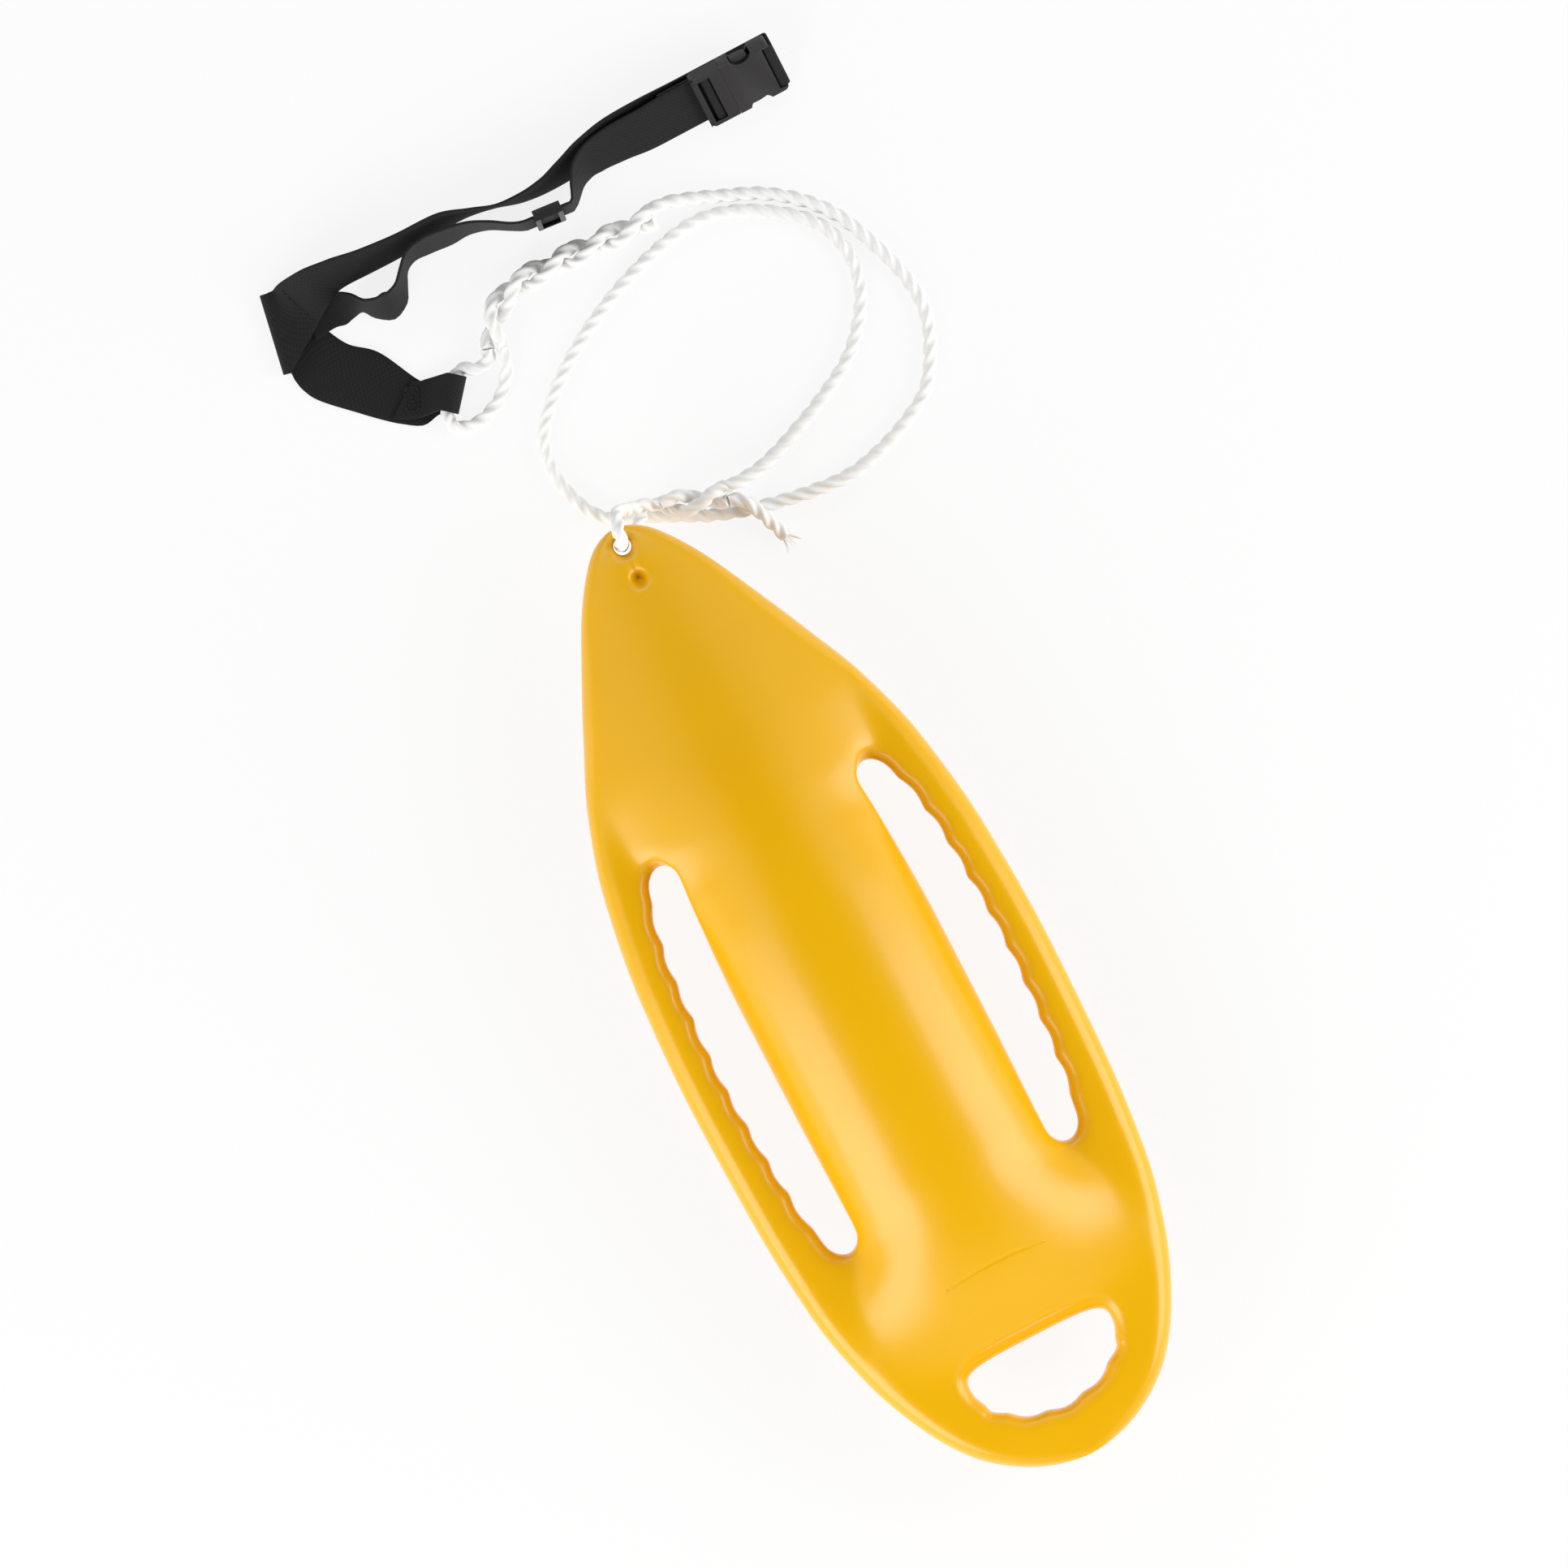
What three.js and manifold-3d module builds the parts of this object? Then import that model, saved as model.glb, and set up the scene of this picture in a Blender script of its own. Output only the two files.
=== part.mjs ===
// Rescue can buoy: a moulded float with finger grips, a tow rope and a shoulder strap.
// Millimetres, +Z up, +Y towards the nose. The float rests on the flat of its belly.

import * as THREE from "three";
import { mergeVertices } from "three/addons/utils/BufferGeometryUtils.js";
import Module from "manifold-3d";

const wasm = await Module();
wasm.setup();

// Float, overall
const canLength = 711;
const canWidth = 272;
const podHalfHeight = 70;
const bellyFlatDepth = 2.4;
const railHalfThickness = 16;
const outerEdgeRadius = 14;
const tipInset = 0.8;

// Float, hand slots along the sides
const slotStart = 219;
const slotTailLength = 197;
const slotEnd = canLength - slotTailLength;
const slotCap = 13;
const railWidth = 28.4;
const podSideCut = 1;
const scallopStart = 241;
const scallopPitch = 27.2;
const scallopDepth = 2.4;
const slotFlare = 9;

// Float, grip at the tail
const gripTailLength = 75.4;
const gripStation = canLength - gripTailLength;
const gripHalfWidth = 54.3;
const gripForward = 13.9;
const gripAft = 36.8;
const gripScallopPitch = 27;
const gripScallopDepth = 2.3;
const gripFlare = 8;

// Float, rope hole and dimple in the nose
const ropeHoleStation = 13.3;
const ropeHoleRadius = 6.5;
const ropeHoleFlare = 3;
const ropeHoleWaist = 8;
const dimpleStation = 37.7;
const dimpleRadius = 7;
const dimpleFloorRadius = 2.5;
const dimpleDepth = 9;
const grooveEndRadius = 5.4;
const grooveWaistRadius = 3.6;
const grooveDepth = 1.9;

// Vent in the belly
const ventPlace = -60;
const ventHeadRadius = 8;
const ventHeadInset = 0.5;
const ventHeadThickness = 2.2;
const ventWasherRadius = 7;
const ventWasherThickness = 1.2;
const ventStemRadius = 4;
const ventStemLength = 9.3;
const ventSlotWidth = 1.6;
const ventSlotLength = 11;
const ventSlotDepth = 1.1;

// Rope
const ropeRadius = 5;
const strandGap = 0.3;
const tailFlare = 0.8;

// Webbing
const webWidth = 40;
const webThickness = 1.8;
const floorGap = 0.4;
const layerGap = 0.5;
const strapSpan = 400;
const foldRadius = 4.5;
const eyeLooseness = 1.3;
const stationStep = 6;

// Side-release buckle
const buckleLength = 60;
const buckleWidth = 47;
const buckleThickness = 11;
const buckleHeading = 0.5;
const buckleTilt = 45;
const buckleHeight = 21.6;
const sideRail = 3.1;
const endBarWidth = 4.2;
const endBarLow = 0.2;
const endBarTop = 5.2;
const centreBarStart = 8.2;
const centreBarWidth = 3;
const centreBarLow = -1;
const centreBarTop = 2;
const collarStart = 15.2;
const collarEnd = 22;
const collarHalfThickness = 4.8;
const bladeEnd = 46;
const bladeHalfWidth = 5;
const bladeHalfThickness = 2.2;
const bladeTipHalfWidth = 3.2;
const socketMouth = 22.3;
const cavityHalfWidth = 21;
const cavityHalfHeight = 3.4;
const cavityEnd = 48.5;
const windowStart = 31;
const windowEnd = 46;
const thumbCentre = 38.5;
const thumbRadius = 8.5;
const thumbReach = 17.8;
const webSlotStart = 51.8;
const webSlotEnd = 56.4;
const webSlotHalfWidth = 20.4;
const socketBarHalfThickness = 2.6;
const socketCorner = 4;
const plateEdge = 1.1;
const prongRootStation = 24.6;
const prongRootRadius = 2.2;
const prongRootSide = 17.5;
const prongInner = 15.3;
const prongOuter = 19.7;
const prongShoulder = 31.4;
const prongShoulderSide = 22.4;
const prongPad = 38;
const prongPadSide = 23;
const prongTip = 44.5;
const prongTipSide = 22;
const prongHalfThickness = 3.1;

// Slider
const sliderLength = 20;
const sliderEndBar = 3.5;
const sliderCentreBar = 4;
const sliderInner = 1.3;
const sliderOuter = 3.8;
const sliderRail = 3.15;

// Stitching
const threadWidth = 1.1;
const threadHeight = 0.5;
const threadSeat = 0.25;
const leadPatchLength = 9;
const leadPatchWidth = 16;
const loopPatchLength = 18;
const loopPatchWidth = 30;
const junctionTackWidth = 2.6;
const junctionTackLength = 32;

// Welding distance for meshes before they are joined or cut
const weldDistance = 0.0001;

const midHeight = podHalfHeight - bellyFlatDepth;
const webRest = floorGap + webThickness / 2;
const layerPitch = webThickness + layerGap;
const quarterTurn = Math.PI / 2;
const halfWeb = webWidth / 2;

// Outline and section of the float, as shares of its length and of its largest values
const halfWidthShares = [
  [0, 0], [0.012, 0.155], [0.031, 0.243], [0.062, 0.35], [0.109, 0.477], [0.172, 0.636],
  [0.234, 0.78], [0.312, 0.899], [0.421, 0.977], [0.53, 1], [0.655, 0.986], [0.764, 0.939],
  [0.842, 0.845], [0.905, 0.708], [0.952, 0.542], [0.983, 0.332], [1, 0],
];
const podHeightShares = [
  [0, 0], [0.02, 0.15], [0.06, 0.27], [0.12, 0.45], [0.2, 0.66], [0.3, 0.865], [0.4, 0.97],
  [0.5, 1], [0.6, 0.985], [0.68, 0.92], [0.75, 0.8], [0.8, 0.65], [0.84, 0.44], [0.874, 0.25],
  [0.9, 0.19], [1, 0.1],
];
const podWidthShares = [
  [0, 0], [0.03, 0.16], [0.06, 0.28], [0.12, 0.47], [0.18, 0.63], [0.24, 0.72], [0.29, 0.71],
  [0.35, 0.6], [0.42, 0.552], [0.47, 0.554], [0.58, 0.554], [0.7, 0.55], [0.78, 0.74], [0.84, 0.8],
  [0.9, 0.68], [1, 0.1],
];
const podPowerShares = [
  [0, 1], [0.1, 1.15], [0.24, 1.2], [0.3, 1.05], [0.36, 0.68], [0.42, 0.5], [0.68, 0.5],
  [0.76, 0.95], [0.84, 1.3], [1, 1],
];
// How tightly the pod's foot meets the flange: wide at both ends and tight beside the slots
const footBlendShares = [
  [0, 1.1], [0.22, 1.1], [0.3, 1.6], [0.4, 3], [0.66, 3], [0.75, 1.5], [0.84, 1.1], [1, 1.1],
];
const flangeShares = [
  [0, 0.45], [0.02, 0.7], [0.06, 0.85], [0.15, 1], [0.85, 1.05], [0.95, 1.08], [1, 0.9],
];
const slotInnerShares = [
  [0.3, 0.505], [0.38, 0.537], [0.47, 0.554], [0.58, 0.554], [0.7, 0.547], [0.74, 0.555],
];
const slotCapShares = [0.134, 0.5, 1];
const railWidthShares = [[0.3, 1.16], [0.4, 1.03], [0.5, 1.03], [0.58, 1.07], [0.68, 1.19], [0.73, 1.28]];

// Rope routes, hand chosen, measured from the tip of the nose
const towRoute = [
  [81.5, -8.5, 17.5], [87, -9.8, 17.2], [106, -8.6, 12], [122, -4.4, 8], [144, 4, 5.6],
  [170, 15.6, 5.2], [197, 31.3, 5.2], [214, 48.6, 5.2], [226.5, 69, 5.2], [230.5, 91, 5.2],
  [227, 111, 5.2], [217.5, 127, 5.2], [199.5, 142.5, 5.2], [175.5, 156, 5.2], [153, 162, 5.2],
  [129, 160.5, 5.2], [77, 144.5, 5.2], [24, 115.5, 5.2], [-12, 82, 5.2], [-18.5, 62, 5.2],
  [-17, 40, 5.2], [-8, 17.5, 5.2], [5.6, 5, 5.2], [32, -5.5, 5.2], [68, -23, 5.2],
  [108, -34.5, 5.2], [160, -40.5, 5.2], [190, -34.5, 5.2], [214, -25, 5.2], [236, -11, 5.2],
  [258, 31, 5.2], [258.5, 58, 5.2], [243.5, 106, 5.2], [232.5, 126.5, 5.2], [215, 145.5, 5.2],
  [194.5, 159.8, 5.2], [172, 169.5, 5.2], [150, 178.5, 7.4], [133, 183.4, 10.2],
  [123.1, 183.6, 10.4],
];
const beltSpliceRoute = [
  [122.6, 178.5, 10.4], [95.4, 178.9, 10.4], [68.6, 180.3, 10.4], [41.3, 180.7, 10.4],
  [13, 179.1, 10.4], [-2, 170.5, 10.4], [-11, 160, 10.4], [-15, 148.5, 10.4],
];
const beltEyeRoute = [
  [-20, 149.8, 10.4], [-21.6, 145.3, 10.3], [-27, 141.4, 9.4], [-34.5, 142.6, 8.4],
  [-42, 146.2, 7.8], [-48.2, 144.5, 7.5], [-56, 135, 7.5], [-63.8, 125.5, 7.5],
  [-66, 117.5, 6.6], [-61, 110.8, 5.4], [-50, 108.5, 5.1], [-38, 111.2, 5.1], [-26, 118, 5.3],
  [-16.5, 129, 7.5], [-12.6, 138, 9.9], [-11.7, 142.2, 10.4], [-10.2, 146.5, 10.4],
];
const noseSpliceRoute = [[80, -13.5, 17.5], [58, -8.5, 18.5], [36, 1, 19.5]];
const noseEyeRoute = [
  [35.9, 1, 24.7], [31.5, 3, 25], [26, 5.4, 28.5], [19, 6.5, 36], [12.5, 8, 47.6], [8.5, 8.4, 61.6],
  [6, 7, 75.6], [4, 1.2, 85.1], [2, -5.5, 88.1], [0.8, -10.8, 85.8], [0, -12.3, 79.6],
  [0, -12.1, 67.6], [0, -12.3, 55.6], [1.5, -11, 48.6], [7, -9, 40.6], [15, -6.5, 31.6],
  [19.5, -2, 23.5], [25, 3.6, 16.6], [31, 3.2, 14.5], [35.5, 1.2, 14.4],
];
const ropeTailRoute = [
  [79.2, -18.6, 17.5], [83.7, -19.7, 17.4], [90.5, -26, 18.6], [95.5, -38, 14.5],
  [100, -50, 7.4], [103, -58, 6],
];

// Strap rows: place as shares of the strap's span, lean in degrees, lift and half width as
// shares of the webbing's width. The raised edge is the one towards the nose's far side.
const adjusterRows = [
  [0.3625, 0.5857, 47, 0.04, 0.5], [0.3075, 0.5875, 52, 0.0125, 0.5], [0.2625, 0.5835, 59, 0.02, 0.5],
  [0.235, 0.573, 68, 0.04, 0.5], [0.2162, 0.555, 78, 0.08, 0.5], [0.205, 0.5383, 83, 0.09, 0.5],
  [0.1913, 0.5255, 83, 0.1, 0.5, "straight"], [0.1062, 0.533, 83, 0.1, 0.5, "straight"],
  [0.0825, 0.5433, 85, 0.03, 0.5], [0.05, 0.5625, 84, 0, 0.5], [0.015, 0.575, 80, 0, 0.5],
  [-0.02, 0.578, 75, 0, 0.5], [-0.0625, 0.5815, 75, 0, 0.5], [-0.095, 0.5775, 80, 0, 0.5],
  [-0.115, 0.5625, 84, 0, 0.5], [-0.13, 0.5415, 80, 0, 0.5], [-0.1462, 0.525, 70, 0, 0.5],
  [-0.1663, 0.5188, 63, 0, 0.5], [-0.1875, 0.5262, 72, 0, 0.5], [-0.205, 0.54, 79, 0, 0.46],
  [-0.2225, 0.549, 55, 0, 0.35], [-0.2412, 0.554, 16, 0.0125, 0.3],
  [-0.2625, 0.5558, 4, 0.03, 0.27], [-0.28, 0.5543, 0, 0.055, 0.2625],
  [-0.305, 0.5525, 0, 0.06, 0.2625],
];
const shoulderRows = [
  [0.375, 0.6015, 46, 0, 0.5], [0.3075, 0.602, 52, 0, 0.5], [0.2525, 0.597, 62, 0, 0.5],
  [0.2075, 0.587, 70, 0, 0.5], [0.165, 0.5795, 78, 0, 0.5], [0.12, 0.579, 84, 0, 0.5],
  [0.075, 0.5865, 90, 0, 0.5], [0.0325, 0.5975, 86, 0, 0.5], [-0.02, 0.6065, 76, 0, 0.5],
  [-0.1, 0.6035, 70, 0, 0.5], [-0.17, 0.606, 66, 0.025, 0.5], [-0.2275, 0.6095, 59, 0.23, 0.5],
  [-0.2675, 0.604, 42, 0.32, 0.5], [-0.305, 0.5925, 15, 0.2125, 0.5],
];

// Lead rows: place and half width vector, all as shares of the strap's span
const foldPlace = [-0.3555, 0.565];
const foldHalf = [0.013, 0.07];
const beforeFold = [-0.33, 0.5775, 0.0005, 0.0575];
const leadRows = [
  [-0.3448, 0.54, 0.0235, 0.0612], [-0.3295, 0.512, 0.0342, 0.053], [-0.3057, 0.4658, 0.0433, 0.0333],
  [-0.2585, 0.42, 0.0393, 0.0387], [-0.2123, 0.3583, 0.0342, 0.0238], [-0.1867, 0.338, 0.022, 0.0275],
  [-0.155, 0.34, 0.021, 0.0255],
];
const eyePlace = [-0.14, 0.3375];
const eyeHalf = [0.021, 0.0255];
const flapRows = [
  [-0.19, 0.3525, 0.0215, 0.02675], [-0.205, 0.357, 0.025, 0.0245], [-0.22, 0.3662, 0.03, 0.022],
];

// Middle of the buckle, as shares of the strap's span
const bucklePlace = [0.54245, 0.5855];

const yellowShell = { color: 0xf0b612, roughness: 0.42, metalness: 0 };
const ventPlastic = { color: 0xd9a416, roughness: 0.5, metalness: 0 };
const washerRubber = { color: 0x2a2a2c, roughness: 0.85, metalness: 0 };
const ropeWhite = { color: 0xf1f1ee, roughness: 0.9, metalness: 0 };
const webBlack = { color: 0x232122, roughness: 0.95, metalness: 0 };
const buckleBlack = { color: 0x2e2c2d, roughness: 0.5, metalness: 0 };
const threadBlack = { color: 0x1b1a1b, roughness: 0.9, metalness: 0 };

// Shared helpers

function follow(table, at) {
  const last = table.length - 1;
  if (at <= table[0][0]) {
    return table[0][1];
  }
  if (at >= table[last][0]) {
    return table[last][1];
  }
  let k = 0;
  while (at > table[k + 1][0]) {
    k += 1;
  }
  const slope = (i) => (table[i + 1][1] - table[i][1]) / (table[i + 1][0] - table[i][0]);
  const tangent = (i) => {
    if (i === 0 || i === last) {
      return slope(Math.min(i, last - 1));
    }
    const before = slope(i - 1);
    const after = slope(i);
    return before * after <= 0 ? 0 : (2 * before * after) / (before + after);
  };
  const span = table[k + 1][0] - table[k][0];
  const t = (at - table[k][0]) / span;
  const rise = t * t * (3 - 2 * t);
  const leave = t * (1 - t) * (1 - t) * span * tangent(k);
  const arrive = t * t * (1 - t) * span * tangent(k + 1);
  return table[k][1] * (1 - rise) + table[k + 1][1] * rise + leave - arrive;
}

function meshFrom(points, faces) {
  const geometry = new THREE.BufferGeometry();
  geometry.setAttribute("position", new THREE.Float32BufferAttribute(points, 3));
  geometry.setIndex(faces);
  return geometry;
}

function signedVolume(points, faces) {
  let total = 0;
  for (let i = 0; i < faces.length; i += 3) {
    const [a, b, c] = [points[faces[i]], points[faces[i + 1]], points[faces[i + 2]]];
    total += a.dot(b.clone().cross(c));
  }
  return total / 6;
}

function capFaces(ring, offset) {
  const normal = new THREE.Vector3();
  ring.forEach((point, i) => {
    const next = ring[(i + 1) % ring.length];
    normal.add(point.clone().cross(next));
  });
  normal.normalize();
  const across = ring[1].clone().sub(ring[0]).normalize();
  const up = normal.clone().cross(across).normalize();
  const flat = ring.map((point) => new THREE.Vector2(point.dot(across), point.dot(up)));
  return THREE.ShapeUtils.triangulateShape(flat, []).map((face) => face.map((i) => i + offset));
}

// Skins a list of rings that have the same number of points and closes both ends, each with a
// fan round a tip where two tips are given
function loft(rings, tips) {
  const around = rings[0].length;
  const points = rings.flat();
  const faces = [];
  for (let r = 0; r < rings.length - 1; r += 1) {
    for (let i = 0; i < around; i += 1) {
      const j = (i + 1) % around;
      const [a, b] = [r * around + i, r * around + j];
      const [c, d] = [a + around, b + around];
      faces.push(a, b, d, a, d, c);
    }
  }
  const lastRing = points.length - around;
  if (tips) {
    const tip = points.length;
    points.push(...tips);
    for (let i = 0; i < around; i += 1) {
      const j = (i + 1) % around;
      faces.push(tip, j, i, tip + 1, lastRing + i, lastRing + j);
    }
  } else {
    capFaces(rings[0], 0).forEach(([a, b, c]) => faces.push(a, c, b));
    capFaces(rings[rings.length - 1], lastRing).forEach((face) => faces.push(...face));
  }
  if (signedVolume(points, faces) < 0) {
    faces.reverse();
  }
  return meshFrom(points.flatMap((point) => point.toArray()), faces);
}

function toSolid(geometry) {
  const bare = new THREE.BufferGeometry();
  bare.setAttribute("position", geometry.getAttribute("position").clone());
  if (geometry.index) {
    bare.setIndex(geometry.index.clone());
  }
  const merged = mergeVertices(bare, weldDistance);
  return new wasm.Manifold(new wasm.Mesh({
    numProp: 3,
    vertProperties: new Float32Array(merged.getAttribute("position").array),
    triVerts: new Uint32Array(merged.index.array),
  }));
}

function toGeometry(solid) {
  const mesh = solid.getMesh();
  const stride = mesh.numProp;
  const points = [];
  for (let i = 0; i < mesh.vertProperties.length; i += stride) {
    points.push(...mesh.vertProperties.slice(i, i + 3));
  }
  return meshFrom(points, Array.from(mesh.triVerts));
}

function join(geometries) {
  return geometries.map(toSolid).reduce((whole, piece) => whole.add(piece));
}

function cut(solid, geometries) {
  return geometries.map(toSolid).reduce((whole, piece) => whole.subtract(piece), solid);
}

// A block between two corners
function block(x0, x1, y0, y1, z0, z1) {
  const geometry = new THREE.BoxGeometry(x1 - x0, y1 - y0, z1 - z0);
  return geometry.translate((x0 + x1) / 2, (y0 + y1) / 2, (z0 + z1) / 2);
}

// A plate with the given outline in plan, between two heights
function plate(outline, z0, z1, bevel = 0) {
  const shape = new THREE.Shape(outline.map(([x, y]) => new THREE.Vector2(x, y)));
  const geometry = new THREE.ExtrudeGeometry(shape, {
    depth: z1 - z0 - 2 * bevel,
    bevelEnabled: bevel > 0,
    bevelThickness: bevel,
    bevelSize: bevel,
    bevelOffset: -bevel,
    bevelSegments: 2,
    steps: 1,
  });
  return geometry.translate(0, 0, z0 + bevel);
}

// A turned piece about an upright axis, from [radius, height] pairs that start and end on it
function turned(profile, segments, x, y) {
  const points = profile.map(([radius, height]) => new THREE.Vector2(radius, height));
  const geometry = new THREE.LatheGeometry(points, segments);
  return geometry.rotateX(quarterTurn).translate(x, y, 0);
}

function named(name, geometry, finish) {
  const mesh = new THREE.Mesh(geometry, new THREE.MeshStandardMaterial(finish));
  mesh.name = name;
  mesh.geometry.computeVertexNormals();
  return mesh;
}

// Float

const halfWidthSquares = halfWidthShares.map(([at, value]) => [at, value * value]);

function halfWidthAt(s) {
  return (canWidth / 2) * Math.sqrt(follow(halfWidthSquares, s / canLength));
}

function podHalfWidthAt(s) {
  return (canWidth / 2) * follow(podWidthShares, s / canLength);
}

function edgeAt(s) {
  return Math.min(outerEdgeRadius, halfWidthAt(s) * 0.6);
}

// Height of the skin over the middle plane at a station and a distance from the middle line
function skinHeight(s, v) {
  const share = s / canLength;
  const pod = podHalfHeight * follow(podHeightShares, share);
  const flange = railHalfThickness * follow(flangeShares, share);
  const crown = Math.cbrt(pod ** 3 + flange ** 3);
  const inside = Math.max(0, 1 - (v / podHalfWidthAt(s)) ** 2) ** follow(podPowerShares, share);
  const blend = follow(footBlendShares, share);
  const rise = (crown ** blend - flange ** blend) * inside ** blend;
  const edge = edgeAt(s);
  const beyond = Math.min(1, Math.max(0, v - (halfWidthAt(s) - edge)) / edge);
  return (flange ** blend + rise) ** (1 / blend) * Math.sqrt(1 - beyond * beyond);
}

function sectionSamples(s) {
  const edgeSteps = 3;
  const podSteps = 7;
  const edge = edgeAt(s);
  const flatTo = halfWidthAt(s) - edge;
  const podReach = THREE.MathUtils.clamp(podHalfWidthAt(s), 0.5 * flatTo, 0.85 * flatTo);
  const samples = [];
  for (let i = 0; i <= edgeSteps; i += 1) {
    samples.push(flatTo + edge * Math.sin(quarterTurn * (1 - i / edgeSteps)));
  }
  samples.push((flatTo + podReach) / 2);
  for (let i = 0; i <= podSteps; i += 1) {
    samples.push(podReach * Math.sin(quarterTurn * (1 - i / podSteps)));
  }
  return samples;
}

function shellRing(s) {
  const half = sectionSamples(s).map((v) => [v, skinHeight(s, v)]);
  const inward = half.slice(0, -1).reverse();
  const outline = [
    ...half,
    ...inward.map(([v, z]) => [-v, z]),
    ...half.slice(1).map(([v, z]) => [-v, -z]),
    ...inward.slice(0, -1).map(([v, z]) => [v, -z]),
  ];
  const y = canLength / 2 - s;
  return outline.map(([v, z]) => new THREE.Vector3(v, y, Math.max(0, midHeight + z)));
}

function shellBody() {
  const ringSteps = 40;
  const rings = [];
  for (let i = 0; i <= ringSteps; i += 1) {
    const share = (1 - Math.cos((Math.PI * i) / ringSteps)) / 2;
    rings.push(shellRing(tipInset + share * (canLength - 2 * tipInset)));
  }
  const tips = [canLength / 2, -canLength / 2].map((y) => new THREE.Vector3(0, y, midHeight));
  return loft(rings, tips);
}

// A cutter whose walls follow an outline and lean outwards towards the skin of the float.
// Each outline entry holds a place in plan, a scallop and the share of the flare it takes.
function flaredCutter(outline, flare, halfThickness) {
  const count = outline.length;
  const area = outline.reduce((sum, p, i) => {
    const next = outline[(i + 1) % count];
    return sum + p.x * next.y - next.x * p.y;
  }, 0);
  const turn = Math.sign(area);
  const normals = outline.map((p, i) => {
    const before = outline[(i + count - 1) % count];
    const after = outline[(i + 1) % count];
    return new THREE.Vector2((after.y - before.y) * turn, (before.x - after.x) * turn).normalize();
  });
  const reach = podHalfHeight * 1.3;
  const lean = [[0, 0.44], [0.25, 0.81], [1, 1.02]];
  const upper = lean.map(([offset, level]) => [offset * flare, level * halfThickness]);
  upper.push([flare, reach]);
  const lower = upper.map(([offset, level]) => [offset, -level]).reverse();
  const rings = [...lower, ...upper].map(([offset, level]) => outline.map((p, i) => {
    const out = p.scallop + offset * p.weight(normals[i]);
    return new THREE.Vector3(p.x + normals[i].x * out, p.y + normals[i].y * out, midHeight + level);
  }));
  return loft(rings);
}

function slotEdges(s) {
  const inner = (canWidth / 2) * follow(slotInnerShares, s / canLength) - podSideCut;
  const outer = halfWidthAt(s) - railWidth * follow(railWidthShares, s / canLength);
  const fromEnd = Math.min(s - slotStart, slotEnd - s);
  const close = fromEnd < slotCap ? Math.sqrt(Math.max(0, 1 - (1 - fromEnd / slotCap) ** 2)) : 1;
  const middle = (inner + outer) / 2;
  const half = ((outer - inner) / 2) * close;
  return { inner: middle - half, outer: middle + half };
}

function slotCutter(side) {
  const capStops = slotCapShares.map((share) => share * slotCap);
  const scallops = Math.round((slotEnd - slotCap - scallopStart) / scallopPitch) - 1;
  const scallopEnd = scallopStart + scallops * scallopPitch;
  const innerSteps = 8;
  const innerStops = [slotStart, ...capStops.map((d) => slotStart + d)];
  for (let i = 1; i < innerSteps; i += 1) {
    innerStops.push(slotStart + slotCap + ((slotEnd - slotStart - 2 * slotCap) * i) / innerSteps);
  }
  innerStops.push(...capStops.map((d) => slotEnd - d).reverse());
  const outerStops = [slotEnd, ...capStops.map((d) => slotEnd - d)];
  for (let i = scallops * 4; i >= 0; i -= 1) {
    outerStops.push(scallopStart + (scallopPitch * i) / 4);
  }
  outerStops.push(...capStops.map((d) => slotStart + d).reverse());
  const weight = (normal) => Math.min(1, Math.max(0, 0.5 + 0.75 * normal.x * side));
  const place = (s, v, scallop) => ({ x: side * v, y: canLength / 2 - s, scallop, weight });
  const outline = innerStops.map((s) => place(s, slotEdges(s).inner, 0));
  outerStops.forEach((s) => {
    const inScallops = s >= scallopStart && s <= scallopEnd;
    const wave = inScallops ? Math.abs(Math.sin((Math.PI * (s - scallopStart)) / scallopPitch)) : 0;
    outline.push(place(s, slotEdges(s).outer, wave * scallopDepth));
  });
  return flaredCutter(outline, slotFlare, railHalfThickness);
}

function gripCutter() {
  const forwardSteps = 10;
  const aftSteps = 24;
  const weight = () => 1;
  const outline = [];
  for (let i = 0; i < forwardSteps; i += 1) {
    const turn = (Math.PI * i) / forwardSteps;
    const v = gripHalfWidth * Math.sign(Math.cos(turn)) * Math.abs(Math.cos(turn)) ** 0.5;
    const d = gripForward * Math.abs(Math.sin(turn)) ** 0.5;
    outline.push({ x: v, y: canLength / 2 - gripStation + d, scallop: 0, weight });
  }
  const aft = [];
  for (let i = 0; i < aftSteps; i += 1) {
    const turn = (Math.PI * i) / aftSteps;
    const v = -gripHalfWidth * Math.sign(Math.cos(turn)) * Math.abs(Math.cos(turn)) ** 1.08;
    const d = gripAft * Math.abs(Math.sin(turn)) ** 1.08;
    aft.push(new THREE.Vector2(v, canLength / 2 - gripStation - d));
  }
  const middle = aftSteps / 2;
  aft.forEach((point, i) => {
    let arc = 0;
    const step = Math.sign(middle - i);
    for (let k = i; k !== middle; k += step) {
      arc += aft[k].distanceTo(aft[k + step]);
    }
    const inScallops = arc < 2 * gripScallopPitch;
    const wave = inScallops ? Math.abs(Math.cos((Math.PI * arc) / gripScallopPitch)) : 0;
    outline.push({ x: point.x, y: point.y, scallop: wave * gripScallopDepth, weight });
  });
  return flaredCutter(outline, gripFlare, railHalfThickness * 1.07);
}

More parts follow.
